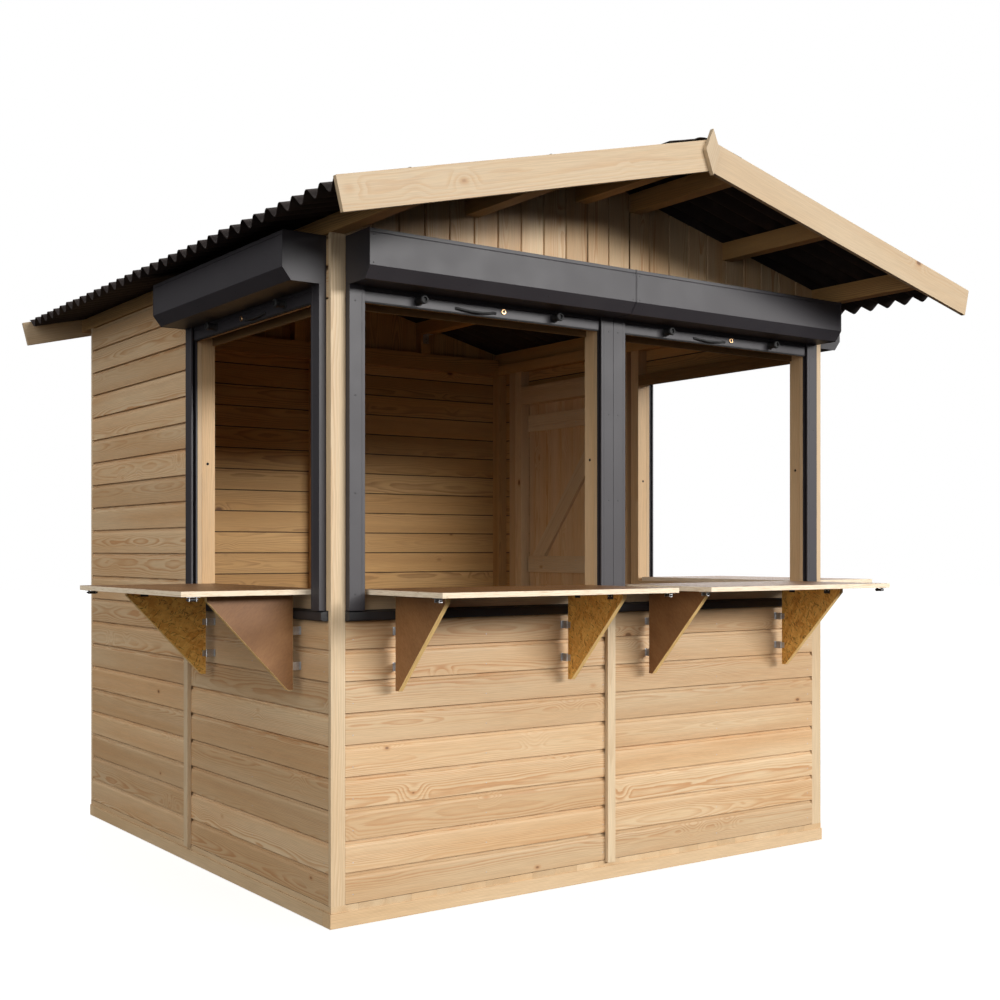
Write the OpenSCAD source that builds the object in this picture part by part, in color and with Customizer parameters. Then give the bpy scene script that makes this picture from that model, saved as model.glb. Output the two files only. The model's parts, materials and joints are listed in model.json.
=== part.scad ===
// Timber market stall: a square timber kiosk with four serving windows, a rear side door and a
// corrugated gable roof. Millimetres, +Z up, front towards -Y, origin on the ground at the centre.

/* [Base] */
// Width and depth of the base frame
base_size = 2500; // [2100:10:3200]
// Height of the base beams and floor joists
beam_h = 52; // [40:1:90]
// Width of the base beams and floor joists
beam_w = 58; // [40:1:90]
// Joists between the front and back beams
joist_count = 5; // [1:2:9]
// Thickness of the floor boards
floor_t = 23; // [15:1:35]
// Step from the base frame in to the wall face
wall_inset = 4; // [0:1:15]

/* [Walls] */
// Thickness of the cladding boards
clad_t = 19; // [12:1:28]
// Width and depth of a stud
stud = 58; // [40:1:80]
// Height of a sole plate
plate_h = 45; // [30:1:80]
// Height of a top plate
top_plate_h = 58; // [40:1:90]
// Extra height of the top plates under the gables
gable_plate_rise = 31; // [10:1:60]
// Width of a corner board
corner_board_w = 57; // [40:1:90]
// Gap where two wall panels meet
seam = 1; // [0.5:0.5:3]
// Width of a joint cover strip
strip_w = 40; // [25:1:60]
// Thickness of a joint cover strip
strip_t = 18; // [10:1:24]
// How far a joint strip hangs below the cladding
strip_drop = 7; // [0:1:12]

/* [Windows] */
// Clear width of a window opening between its guides
window_w = 1065; // [1040:1:1200]
// Height of the window sill's underside above the ground
sill_z = 1062; // [900:1:1200]
// Height of the window sill
sill_h = 36; // [20:1:50]
// How far sills and guides stand out from the wall
guide_d = 28; // [20:1:35]
// Height of the window rail behind the sill
window_rail_h = 90; // [70:1:120]
// Top of the window opening above the ground
window_top_z = 2160; // [1900:1:2170]
// Middle of the side windows, measured towards the front
side_window_y = 619; // [610:1:640]

/* [Shutters] */
// Width of a shutter guide rail
guide_w = 62; // [45:1:70]
// Underside of the shutter boxes above the ground
box_z = 2229; // [2200:1:2260]
// Height of a shutter box
box_h = 167; // [140:1:190]
// Depth of a shutter box
box_d = 167; // [140:1:220]
// Size of the box's lower front chamfer, out and up
box_chamfer = [33, 42];
// Height of the shutter's bottom bar
bar_h = 57; // [40:1:65]
// Thickness of the shutter's bottom bar
bar_t = 14; // [10:1:20]
// Distance of the rubber stops from the window's middle
stop_reach = 306; // [200:1:400]
// Length of a rubber stop
stop_l = 44; // [20:1:50]
// Length of the pull handle
handle_l = 180; // [120:1:240]

/* [Counters] */
// Length of a counter
counter_l = 1028; // [900:1:1030]
// Thickness of a counter and of its brackets
counter_t = 18; // [15:1:27]
// How far a counter reaches out from the wall
counter_reach = 496; // [350:1:600]
// How far a counter rests on the window rail
counter_seat = 50; // [30:1:55]
// Distance of the first bracket from its counter end
bracket_inset_a = 98; // [60:1:200]
// Distance of the second bracket from its counter end
bracket_inset_b = 139; // [60:1:200]
// Length of a bracket's top edge
bracket_l = 325; // [220:1:330]
// Height of a bracket
bracket_h = 341; // [240:1:420]
// Blunt width left at a bracket's two points
bracket_nose = 20; // [5:1:40]
// Gap between a bracket and the counter it carries
bracket_gap = 0.5; // [0.3:0.1:1]
// Distance of the bracket hinge axis from the wall
hinge_out = 34; // [33:1:45]
// Radius of a bracket hinge knuckle
knuckle_r = 4; // [3:0.5:6]
// Height of a bracket hinge knuckle
knuckle_h = 30; // [20:1:50]

/* [Door] */
// Width of the doorway in the right wall
door_w = 822; // [700:1:840]
// Rear edge of the doorway from the stall's middle
door_rear_y = 942; // [900:1:1000]
// Height of the doorway's top above the ground
door_top_z = 2154; // [1900:1:2170]
// Height of the rail over the door
door_head_h = 103; // [60:1:120]
// Gap around the door leaf
door_gap = 3; // [2:0.5:6]
// Thickness of the door boards
door_t = 19; // [15:1:28]
// Width of a door ledge or brace
ledge_w = 94; // [60:1:130]
// Thickness of a door ledge or brace
ledge_t = 19; // [15:1:28]
// Height of the middle ledge's underside
middle_ledge_z = 1182; // [900:1:1300]
// Distance of the door hinge axis from the wall
door_pin_out = 5.5; // [5:0.5:9]
// Radius of a door hinge pin
door_pin_r = 5; // [3:0.5:5]
// Height of a door hinge strap
strap_h = 40; // [25:1:60]

/* [Roof] */
// Roof slope, rise over run
slope = 0.2456; // [0.15:0.005:0.45]
// Underside of the roof sheet at the eaves
eaves_z = 2403; // [2350:1:2500]
// Overhang of the roof sheets at the sides
eaves_overhang = 245; // [100:5:350]
// Overhang of the roof in front
front_overhang = 550; // [200:10:700]
// Overhang of the roof at the back
back_overhang = 137; // [60:1:400]
// Width of a purlin
purlin_w = 58; // [40:1:80]
// Height of a purlin at its middle
purlin_h = 67; // [50:1:90]
// Distance of the middle purlins from the ridge
mid_purlin_x = 659; // [550:1:750]
// Distance of the upper purlins from the ridge
upper_purlin_x = 140; // [100:1:220]
// Wave length of the corrugated sheet
wave_l = 95; // [70:1:130]
// Wave height of the corrugated sheet
wave_h = 36; // [20:1:50]
// Thickness of the corrugated sheet
sheet_t = 3; // [2:0.5:5]
// Gap between the two sheets along the ridge
ridge_gap = 40; // [20:1:80]
// Reach of the ridge cap to each side
cap_reach = 180; // [120:1:260]
// Thickness of the ridge cap
cap_t = 5; // [3:0.5:8]
// Height of a bargeboard, measured upright
barge_h = 115; // [80:1:160]
// Rise of a bargeboard above the sheet's underside
barge_rise = 32; // [10:1:60]
// Thickness of a bargeboard
barge_t = 18; // [12:1:30]
// Half width of the diamond finial
finial_w = 36; // [20:1:60]
// Height of the diamond finial
finial_h = 171; // [100:1:240]

/* [Hidden] */
$fn = 32;
eps = 0.01;
wall = base_size/2 - wall_inset;               // wall face from the middle
floor_z = beam_h + floor_t;                    // walls stand here
frame_in = clad_t + stud;                      // whole wall thickness
roof_edge = base_size/2 + eaves_overhang;
module_w = window_w + 2*guide_w;               // one window unit
unit_x = module_w/2;                           // middle of a front window
post_in = wall - frame_in;                     // inner face of the wall frame
sill_top = sill_z + sill_h;
rail_top = sill_z + window_rail_h;
hinge_play = 0.5;                              // between a knuckle or pin and what turns on it
guide_top = box_z;
bar_out = (guide_d - bar_t)/2 - 5;             // bottom bar sits inside the guide's depth
function roof_z(x) = eaves_z + slope*(roof_edge - abs(x));
eaves_purlin_x = wall - purlin_w/2;
wall_top = roof_z(eaves_purlin_x) - purlin_h;
gable_base = wall_top + gable_plate_rise;
box_top = box_z + box_h;
roof_front = -base_size/2 - front_overhang;
roof_back = base_size/2 + back_overhang;
pitch = atan(slope);
crest = (wave_h + sheet_t)/cos(pitch);         // crest height, measured upright
bracket_top = rail_top - bracket_gap;
bracket_start = hinge_out + knuckle_r + hinge_play;   // bracket's rear edge from the wall
purlin_xs = [mid_purlin_x, upper_purlin_x];
door_front_y = door_rear_y - door_w;
leaf_front = door_front_y + door_gap;
leaf_rear = door_rear_y - door_gap;
leaf_bottom = floor_z + door_gap;
leaf_top = door_top_z - door_gap;
strap_zs = [leaf_bottom + 110, leaf_top - 140];
seat = 0.2;                                    // hairline where sloping roof work meets the frame
// side of the stall and middle of each window along it
WINDOWS = [["front", -unit_x], ["front", unit_x], ["left", -side_window_y], ["right", -side_window_y]];

PINE = "burlywood";
TRIM = "wheat";
STEEL = "dimgray";
DARK = [0.16, 0.14, 0.15];
FILM = "sienna";
ZINC = "silver";

// Carries a piece drawn on the front wall (x along the wall, -y outwards, y = 0 at its face)
// to the wall on the given side; along the side walls x runs from front to back.
module place(side) {
    if (side == "front") translate([0, -wall, 0]) children();
    if (side == "back") mirror([0, 1, 0]) translate([0, -wall, 0]) children();
    if (side == "right") translate([wall, 0, 0]) rotate([0, 0, 90]) children();
    if (side == "left") mirror([1, 0, 0]) translate([wall, 0, 0]) rotate([0, 0, 90]) children();
}

// Box on a wall: along from-to, outwards from-to, height from-to
module block(along, out, height) {
    translate([along[0], -out[1], height[0]])
        cube([along[1] - along[0], out[1] - out[0], height[1] - height[0]]);
}

// Upright stud behind the cladding
module wall_stud(from, to, bottom, top) {
    block([from, to], [-frame_in, -clad_t], [bottom, top]);
}

// ---- base -------------------------------------------------------------------

module base_frame() {
    half = base_size/2;
    color(PINE) {
        for (y = [-half, half - beam_w]) translate([-half, y, 0]) cube([base_size, beam_w, beam_h]);
        for (x = [-half, half - beam_w]) translate([x, seam - half + beam_w, 0])
            cube([beam_w, base_size - 2*beam_w - 2*seam, beam_h]);
    }
}

module floor_joists() {
    inner = base_size - 2*beam_w - 2*seam;
    step = (base_size - beam_w)/(joist_count + 1);
    color(PINE) for (i = [1:joist_count])
        translate([-inner/2, -base_size/2 + i*step, 0]) cube([inner, beam_w, beam_h]);
}

module floor_deck() {
    color(PINE) translate([-wall, -wall, beam_h]) cube([2*wall, 2*wall, floor_t]);
}

// ---- wall frame ---------------------------------------------------------------

module corner_posts() {
    color(TRIM) for (x = [-1, 1], y = [-1, 1])
        translate([x*(post_in + stud/2) - stud/2, y*(post_in + stud/2) - stud/2, floor_z])
            cube([stud, stud, wall_top - floor_z]);
}

module wall_studs() {
    bottom = floor_z + plate_h;
    top = wall_top - top_plate_h;
    window_rear = -side_window_y + window_w/2;
    window_front = -side_window_y - window_w/2;
    color(TRIM) {
        place("front") for (m = [0, 1]) mirror([m, 0, 0]) {
            wall_stud(seam/2, unit_x - window_w/2, bottom, top);
            wall_stud(unit_x + window_w/2, post_in, bottom, top);
        }
        place("back") for (m = [0, 1]) mirror([m, 0, 0]) wall_stud(seam/2, stud, bottom, top);
        for (side = ["left", "right"]) place(side) {
            wall_stud(-post_in, window_front, bottom, top);
            wall_stud(window_rear, window_rear + stud, bottom, top);
            wall_stud(seam/2, stud, bottom, top);
        }
        place("right") wall_stud(door_rear_y + stud + seam, door_rear_y + 2*stud, bottom, top);
    }
}

module sole_plates() {
    color(TRIM) {
        for (side = ["front", "back", "left"]) place(side)
            wall_stud(-post_in, post_in, floor_z, floor_z + plate_h);
        place("right") {
            wall_stud(-post_in, door_rear_y - door_w - stud - seam, floor_z, floor_z + plate_h);
            wall_stud(door_rear_y + stud + seam, post_in, floor_z, floor_z + plate_h);
        }
    }
}

module top_plates() {
    color(TRIM) {
        for (side = ["front", "back"]) place(side)
            wall_stud(-post_in, post_in, wall_top - top_plate_h, gable_base);
        for (side = ["left", "right"]) place(side)
            wall_stud(-post_in, post_in, wall_top - top_plate_h, wall_top);
    }
}

module window_rails() {
    color(TRIM) for (w = WINDOWS) place(w[0]) translate([w[1], 0, 0])
        wall_stud(-window_w/2, window_w/2, sill_z, rail_top);
}

module window_headers() {
    color(TRIM) for (w = WINDOWS) place(w[0]) translate([w[1], 0, 0])
        wall_stud(-window_w/2, window_w/2, window_top_z, window_top_z + stud);
}

// Boards that close the wall's outer layer between the sill and the window head
module jamb_boards() {
    height = [sill_top, window_top_z];
    window_rear = -side_window_y + window_w/2;
    window_front = -side_window_y - window_w/2;
    color(TRIM) {
        place("front") {
            block([-unit_x + window_w/2, unit_x - window_w/2], [-clad_t, 0], height);
            for (m = [0, 1]) mirror([m, 0, 0])
                block([unit_x + window_w/2, wall - corner_board_w], [-clad_t, 0], height);
        }
        for (side = ["left", "right"]) place(side) {
            block([clad_t - wall, window_front], [-clad_t, 0], height);
            block([window_rear, -seam/2], [-clad_t, 0], height);
        }
    }
}

// ---- cladding ------------------------------------------------------------------

module front_cladding() {
    reach = wall - corner_board_w;
    color(PINE) place("front") for (m = [0, 1]) mirror([m, 0, 0]) {
        block([seam/2, reach], [-clad_t, 0], [floor_z, sill_z]);
        block([seam/2, reach], [-clad_t, 0], [window_top_z, wall_top]);
    }
}

// Front half of a side wall: boards below and above its window
module side_window_panel(side) {
    place(side) {
        block([clad_t - wall, -seam/2], [-clad_t, 0], [floor_z, sill_z]);
        block([clad_t - wall, -seam/2], [-clad_t, 0], [window_top_z, wall_top]);
    }
}

module left_cladding() {
    color(PINE) {
        side_window_panel("left");
        place("left") block([seam/2, wall - clad_t], [-clad_t, 0], [floor_z, wall_top]);
    }
}

module right_cladding() {
    front_edge = door_rear_y - door_w;
    color(PINE) {
        side_window_panel("right");
        place("right") {
            block([seam/2, front_edge], [-clad_t, 0], [floor_z, wall_top]);
            block([front_edge + seam, door_rear_y - seam], [-clad_t, 0], [door_top_z, wall_top]);
            block([door_rear_y, wall - clad_t], [-clad_t, 0], [floor_z, wall_top]);
        }
    }
}

module back_cladding() {
    color(PINE) place("back") for (m = [0, 1]) mirror([m, 0, 0])
        block([seam/2, wall - corner_board_w], [-clad_t, 0], [floor_z, wall_top]);
}

module corner_boards() {
    color(TRIM) for (side = ["front", "back"]) place(side) for (m = [0, 1]) mirror([m, 0, 0])
        block([wall - corner_board_w, wall], [-clad_t, 0], [floor_z, wall_top]);
}

module joint_strips() {
    color(TRIM) {
        for (side = ["front", "left", "right"]) place(side)
            block([-strip_w/2, strip_w/2], [0, strip_t], [floor_z - strip_drop, sill_z]);
        place("back")
            block([-strip_w/2, strip_w/2], [0, strip_t], [floor_z - strip_drop, wall_top]);
    }
}

// ---- gables and roof -------------------------------------------------------------

// Boarded gable with notches in its top edge where the purlins pass
module gable(side) {
    reach = eaves_purlin_x - purlin_w/2;
    play = 1;
    color(PINE) place(side) rotate([90, 0, 0]) translate([0, 0, -clad_t]) linear_extrude(clad_t)
        difference() {
            polygon([[-reach, wall_top], [reach, wall_top], [reach, roof_z(reach) - play],
                [0, roof_z(0) - play], [-reach, roof_z(reach) - play]]);
            for (m = [0, 1], x = purlin_xs) mirror([m, 0])
                translate([x - purlin_w/2 - play, roof_z(x) - purlin_h])
                    square([purlin_w + 2*play, 2*purlin_h]);
        }
}

module front_gable() { gable("front"); }

module back_gable() { gable("back"); }

module gable_studs() {
    color(TRIM) for (side = ["front", "back"]) place(side)
        for (m = [0, 1], x = purlin_xs) mirror([m, 0, 0])
            wall_stud(x - stud/2, x + stud/2, gable_base, roof_z(x) - purlin_h - seat);
}

// One purlin: flat underside, top bevelled to the roof slope
module purlin(x) {
    inner = x - purlin_w/2;
    outer = x + purlin_w/2;
    bottom = roof_z(x) - purlin_h;
    translate([0, roof_back, 0]) rotate([90, 0, 0]) linear_extrude(roof_back - roof_front)
        polygon([[inner, bottom], [outer, bottom], [outer, roof_z(outer)], [inner, roof_z(inner)]]);
}

module purlins() {
    color(TRIM) for (m = [0, 1], x = concat(purlin_xs, eaves_purlin_x)) mirror([m, 0, 0]) purlin(x);
}

// Folded steel angles that tie the gable studs to the purlins
module purlin_brackets() {
    leg = 50;
    width = 40;
    plate = 2.5;
    color(ZINC) for (side = ["front", "back"]) place(side)
        for (m = [0, 1], x = purlin_xs) mirror([m, 0, 0]) {
            bottom = roof_z(x) - purlin_h - seat;
            block([x - width/2, x + width/2], [-frame_in - plate, -frame_in], [bottom - leg, bottom]);
            block([x - width/2, x + width/2], [-frame_in - leg, -frame_in], [bottom - plate, bottom]);
        }
}

// Corrugated sheet on the right slope, from the ridge gap to the eaves
module roof_sheet() {
    start = roof_front + seat;
    steps = floor((roof_back - seat - start)/(wave_l/4));
    function wave(i) = wave_h/2*(1 - cos(90*i));
    lower = [for (i = [0:steps]) [start + i*wave_l/4, wave(i)]];
    upper = [for (i = [steps:-1:0]) [start + i*wave_l/4, wave(i) + sheet_t]];
    run = roof_edge - ridge_gap/2;
    color(DARK) translate([0, 0, roof_z(0)]) rotate([0, pitch, 0])
        translate([ridge_gap/2/cos(pitch), 0, 0]) rotate([90, 0, 90])
            linear_extrude(run/cos(pitch)) polygon(concat(lower, upper));
}

module roof_sheet_right() { roof_sheet(); }

module roof_sheet_left() { mirror([1, 0, 0]) roof_sheet(); }

module ridge_cap() {
    lift = crest;
    edge = roof_z(cap_reach) + lift;
    top = roof_z(0) + lift;
    color(DARK) translate([0, roof_back, 0]) rotate([90, 0, 0])
        linear_extrude(roof_back - roof_front)
            polygon([[-cap_reach, edge], [0, top], [cap_reach, edge], [cap_reach, edge + cap_t],
                [0, top + cap_t], [-cap_reach, edge + cap_t]]);
}

// One bargeboard on the right slope, square-cut at its lower end
module bargeboard() {
    low = roof_edge + 15;
    cut = barge_h*slope*cos(pitch)*cos(pitch);
    below = barge_rise - barge_h;
    linear_extrude(barge_t) polygon([[seam/2, roof_z(seam/2) + below], [low, roof_z(low) + below],
        [low + cut, roof_z(low + cut) + barge_rise], [seam/2, roof_z(seam/2) + barge_rise]]);
}

module bargeboards() {
    color(TRIM) for (y = [roof_front, roof_back + barge_t], m = [0, 1])
        mirror([m, 0, 0]) translate([0, y, 0]) rotate([90, 0, 0]) bargeboard();
}

module finials() {
    middle = roof_z(0) - 13;
    low = middle - finial_h*0.52;
    color(TRIM) for (y = [roof_front - barge_t, roof_back + 2*barge_t])
        translate([0, y, 0]) rotate([90, 0, 0]) linear_extrude(barge_t)
            polygon([[0, low], [finial_w, middle], [0, low + finial_h], [-finial_w, middle]]);
}

// ---- windows and roller shutters ----------------------------------------------------

module window_sills() {
    reach = wall - corner_board_w;
    color(DARK) {
        place("front") block([-reach, reach], [-clad_t, guide_d], [sill_z, sill_top]);
        for (side = ["left", "right"]) place(side)
            block([clad_t - wall, -side_window_y + module_w/2], [-clad_t, guide_d],
                [sill_z, sill_top]);
    }
}

module shutter_boxes() {
    half = module_w/2 - seam/2;
    color(STEEL) for (w = WINDOWS) place(w[0]) translate([w[1] - half, 0, 0])
        rotate([90, 0, 90]) linear_extrude(2*half)
            polygon([[0, box_z], [0, box_top], [-box_d, box_top], [-box_d, box_z + box_chamfer[1]],
                [box_chamfer[0] - box_d, box_z]]);
}

module shutter_guides() {
    color(STEEL) for (w = WINDOWS) place(w[0]) translate([w[1], 0, 0])
        for (m = [0, 1]) mirror([m, 0, 0])
            block([window_w/2, module_w/2 - seam/2], [0, guide_d], [sill_top, guide_top]);
}

module shutter_bars() {
    color(STEEL) for (w = WINDOWS) place(w[0]) translate([w[1], 0, 0])
        block([seam - window_w/2, window_w/2 - seam], [bar_out, bar_out + bar_t],
            [box_z - bar_h, box_z]);
}

// Rubber stops that meet the box when the shutter is up
module shutter_stops() {
    color(DARK) for (w = WINDOWS) place(w[0])
        for (x = [-stop_reach, stop_reach])
            translate([w[1] + x, -bar_out - bar_t, box_z - bar_h/2]) rotate([90, 0, 0])
                cylinder(r = 10, h = stop_l);
}

module shutter_handles() {
    offset_from_middle = -59;
    grip = 16;
    color(DARK) for (w = WINDOWS) place(w[0]) translate([w[1] + offset_from_middle, 0, 0])
        block([-handle_l/2, handle_l/2], [bar_out + bar_t, bar_out + bar_t + grip],
            [box_z - bar_h + 8, box_z - bar_h + 30]);
}

module shutter_locks() {
    offset_from_middle = 67;
    color("peru") for (w = WINDOWS) place(w[0])
        translate([w[1] + offset_from_middle, -bar_out - bar_t, box_z - bar_h/2])
            rotate([90, 0, 0]) cylinder(r = 10, h = 4);
}

// ---- counters and folding brackets ---------------------------------------------------

module counters() {
    color(FILM) for (w = WINDOWS) place(w[0]) translate([w[1], 0, 0])
        block([-counter_l/2, counter_l/2], [-clad_t - counter_seat, counter_reach],
            [rail_top, rail_top + counter_t]);
}

// Small hooks under both ends of a counter, near its outer edge
module counter_latches() {
    depth = 6;
    color(DARK) for (w = WINDOWS) place(w[0]) translate([w[1], 0, 0])
        for (m = [0, 1]) mirror([m, 0, 0])
            block([counter_l/2 - 22, counter_l/2 - 4], [counter_reach - 70, counter_reach - 20],
                [rail_top - depth, rail_top]);
}

// Middle of the wall hinge line, at the inner face of a bracket, from the window's middle
function hinge_at(first) = first ? bracket_inset_a + counter_t - counter_l/2
    : counter_l/2 - bracket_inset_b - counter_t;

// Triangular bracket; the first one of a window stands at its low end, the second at its high end
module bracket(side, middle, first) {
    start = bracket_start;
    low = bracket_top - bracket_h;
    thick = first ? -counter_t : 0;
    color(FILM) place(side) translate([middle + hinge_at(first) + thick, 0, 0])
        rotate([90, 0, 90]) linear_extrude(counter_t)
            polygon([[-start, low], [-start, bracket_top], [-start - bracket_l, bracket_top],
                [-start - bracket_l, bracket_top - bracket_nose], [-start - bracket_nose, low]]);
}

// Fixed hinge halves: a knuckle, the leaf that carries it and a foot on the wall
module bracket_hinges() {
    leaf = 2;
    foot = 14;
    low = bracket_top - bracket_h;
    color(ZINC) for (w = WINDOWS, first = [true, false]) place(w[0])
        translate([w[1] + hinge_at(first), 0, 0])
            for (z = [low + bracket_h*0.2, low + bracket_h*0.57]) translate([0, 0, z]) {
                translate([0, -hinge_out, 0]) cylinder(r = knuckle_r, h = knuckle_h);
                block([-leaf/2, leaf/2], [0, hinge_out], [0, knuckle_h]);
                block([-foot/2, foot/2], [0, leaf], [0, knuckle_h]);
            }
}

module bracket_front_a() { bracket("front", -unit_x, true); }

module bracket_front_b() { bracket("front", -unit_x, false); }

module bracket_front_c() { bracket("front", unit_x, true); }

module bracket_front_d() { bracket("front", unit_x, false); }

module bracket_left_a() { bracket("left", -side_window_y, true); }

module bracket_left_b() { bracket("left", -side_window_y, false); }

module bracket_right_a() { bracket("right", -side_window_y, true); }

module bracket_right_b() { bracket("right", -side_window_y, false); }

// ---- door ------------------------------------------------------------------------------

module door_frame() {
    head = door_top_z + door_head_h;
    color(TRIM) place("right") {
        wall_stud(door_front_y - stud, door_front_y, floor_z, wall_top - top_plate_h);
        wall_stud(door_rear_y, door_rear_y + stud, floor_z, wall_top - top_plate_h);
        wall_stud(door_front_y + seam/2, door_rear_y - seam/2, door_top_z, head);
    }
}

module door_leaf() {
    color(PINE) place("right") block([leaf_front, leaf_rear], [-door_t, 0], [leaf_bottom, leaf_top]);
}

// Three ledges and two braces on the inside, each brace rising from the hinge side
module door_ledges() {
    inset = 12;
    ledges = [leaf_bottom + 90, middle_ledge_z, leaf_top - 60 - ledge_w];
    color(TRIM) place("right") {
        for (z = ledges)
            block([leaf_front + inset, leaf_rear - inset], [-door_t - ledge_t, -door_t],
                [z, z + ledge_w]);
        for (i = [0, 1]) door_brace(ledges[i] + ledge_w + seam, ledges[i + 1] - seam, inset + 40);
    }
}

module door_brace(low, high, inset) {
    foot = ledge_w*1.25;
    translate([0, door_t, 0]) rotate([90, 0, 0]) translate([0, 0, -ledge_t])
        linear_extrude(ledge_t) polygon([[leaf_rear - inset, low], [leaf_rear - inset - foot, low],
            [leaf_front + inset, high], [leaf_front + inset + foot, high]]);
}

// Hinge straps and a plain pull on the outer face
module door_hardware() {
    strap_l = 260;
    strap_end = door_rear_y - door_pin_r - hinge_play;
    color(DARK) place("right") {
        for (z = strap_zs) block([strap_end - strap_l, strap_end], [0, 4], [z, z + strap_h]);
        block([leaf_front + 40, leaf_front + 70], [0, 30], [1050, 1190]);
    }
}

// Fixed pins that the straps turn on, each with its plate on the wall
module door_hinges() {
    plate_l = 50;
    color(DARK) place("right") for (z = strap_zs) {
        translate([door_rear_y, -door_pin_out, z]) cylinder(r = door_pin_r, h = strap_h);
        block([door_rear_y, door_rear_y + plate_l], [0, 3], [z, z + strap_h]);
    }
}

base_frame();
floor_joists();
floor_deck();
corner_posts();
wall_studs();
sole_plates();
top_plates();
window_rails();
window_headers();
jamb_boards();
front_cladding();
left_cladding();
right_cladding();
back_cladding();
corner_boards();
joint_strips();
front_gable();
back_gable();
gable_studs();
purlins();
purlin_brackets();
roof_sheet_left();
roof_sheet_right();
ridge_cap();
bargeboards();
finials();
window_sills();
shutter_boxes();
shutter_guides();
shutter_bars();
shutter_stops();
shutter_handles();
shutter_locks();
counters();
counter_latches();
bracket_hinges();
bracket_front_a();
bracket_front_b();
bracket_front_c();
bracket_front_d();
bracket_left_a();
bracket_left_b();
bracket_right_a();
bracket_right_b();
door_frame();
door_leaf();
door_ledges();
door_hardware();
door_hinges();
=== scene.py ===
"""Looks of a timber market stall.

Boards, studs, corrugated roof, roller shutters, counters, folding brackets and the side door
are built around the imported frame, in metres, +Z up and the front towards -Y.
"""

import json
import logging
import math
import random
from dataclasses import dataclass
from enum import Enum
from typing import Callable, Iterable, Sequence

import bmesh
import bpy
import numpy as np
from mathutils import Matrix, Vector

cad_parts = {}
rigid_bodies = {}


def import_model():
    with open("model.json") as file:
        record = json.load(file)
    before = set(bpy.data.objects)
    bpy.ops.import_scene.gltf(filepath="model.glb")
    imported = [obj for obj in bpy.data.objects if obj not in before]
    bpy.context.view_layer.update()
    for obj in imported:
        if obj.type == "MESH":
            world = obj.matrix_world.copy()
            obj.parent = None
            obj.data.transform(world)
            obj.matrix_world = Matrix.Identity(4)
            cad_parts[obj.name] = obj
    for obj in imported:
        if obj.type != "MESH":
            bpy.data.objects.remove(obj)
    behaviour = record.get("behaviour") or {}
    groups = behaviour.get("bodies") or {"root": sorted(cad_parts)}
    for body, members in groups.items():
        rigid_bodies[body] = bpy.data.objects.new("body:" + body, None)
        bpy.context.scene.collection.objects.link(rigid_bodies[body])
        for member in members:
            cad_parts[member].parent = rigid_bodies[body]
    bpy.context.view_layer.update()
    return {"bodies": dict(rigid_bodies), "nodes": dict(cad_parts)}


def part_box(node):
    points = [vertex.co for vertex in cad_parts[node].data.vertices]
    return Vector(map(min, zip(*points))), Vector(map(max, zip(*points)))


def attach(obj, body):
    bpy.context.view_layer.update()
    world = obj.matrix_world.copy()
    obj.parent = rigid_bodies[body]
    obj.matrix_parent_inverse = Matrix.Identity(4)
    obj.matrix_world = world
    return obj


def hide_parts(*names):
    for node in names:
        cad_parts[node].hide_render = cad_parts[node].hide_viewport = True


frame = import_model()

LOG = logging.getLogger("stall")
Point = tuple[float, float]
Place = Callable[[float, float, float], Vector]
MM = 0.001
STALL = "stall"
DOOR = "door"
STRAIGHT = 1e-8     # a turn below this keeps three points in line


class Side(Enum):
    """The four walls of the stall."""

    FRONT = "front"
    BACK = "back"
    LEFT = "left"
    RIGHT = "right"


@dataclass(frozen=True)
class Span:
    """A box on a wall: along it, outwards from its face, and up."""

    along: Point
    out: Point
    up: Point

    @property
    def middle(self) -> float:
        """Middle of the box along the wall."""
        return (self.along[0] + self.along[1]) / 2

    def covers(self, other: "Span") -> bool:
        """True if the other box's middle lies within this one along the wall."""
        return self.along[0] - MM <= other.middle <= self.along[1] + MM


@dataclass(frozen=True)
class Solid:
    """One closed solid of a CAD node."""

    points: np.ndarray

    @property
    def low(self) -> Vector:
        """Lowest corner."""
        return Vector(self.points.min(0))

    @property
    def high(self) -> Vector:
        """Highest corner."""
        return Vector(self.points.max(0))

    @property
    def middle(self) -> Vector:
        """Middle of the solid's box."""
        return (self.low + self.high) / 2

    def longest(self) -> int:
        """Index of the axis that the solid is longest along."""
        size = self.high - self.low
        return max(range(3), key=lambda k: size[k])

    def outline(self, axis: int) -> list[Point]:
        """Convex outline of the solid seen along an axis.

        Args:
            axis: 0, 1 or 2, the axis that is looked along.

        Returns:
            Corner points in the plane of the next two axes, anticlockwise.
        """
        i, j = (axis + 1) % 3, (axis + 2) % 3
        flat = sorted({(round(float(p[i]), 5), round(float(p[j]), 5)) for p in self.points})
        return convex_hull(flat)


def convex_hull(points: Sequence[Point]) -> list[Point]:
    """Anticlockwise convex hull of sorted points, with no point in the middle of an edge.

    Args:
        points: the points, sorted.

    Returns:
        The hull's corners, anticlockwise.
    """
    def half(run: Iterable[Point]) -> list[Point]:
        """One chain of the hull.

        Args:
            run: the points in the chain's order.

        Returns:
            The chain without its last point.
        """
        chain: list[Point] = []
        for p in run:
            while len(chain) > 1 and turn(chain[-2], chain[-1], p) <= STRAIGHT:
                chain.pop()
            chain.append(p)
        return chain[:-1]

    return half(points) + half(reversed(points))


def turn(a: Point, b: Point, c: Point) -> float:
    """Twice the signed area of a triangle: positive for a left turn."""
    return (b[0] - a[0]) * (c[1] - a[1]) - (b[1] - a[1]) * (c[0] - a[0])


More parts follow.
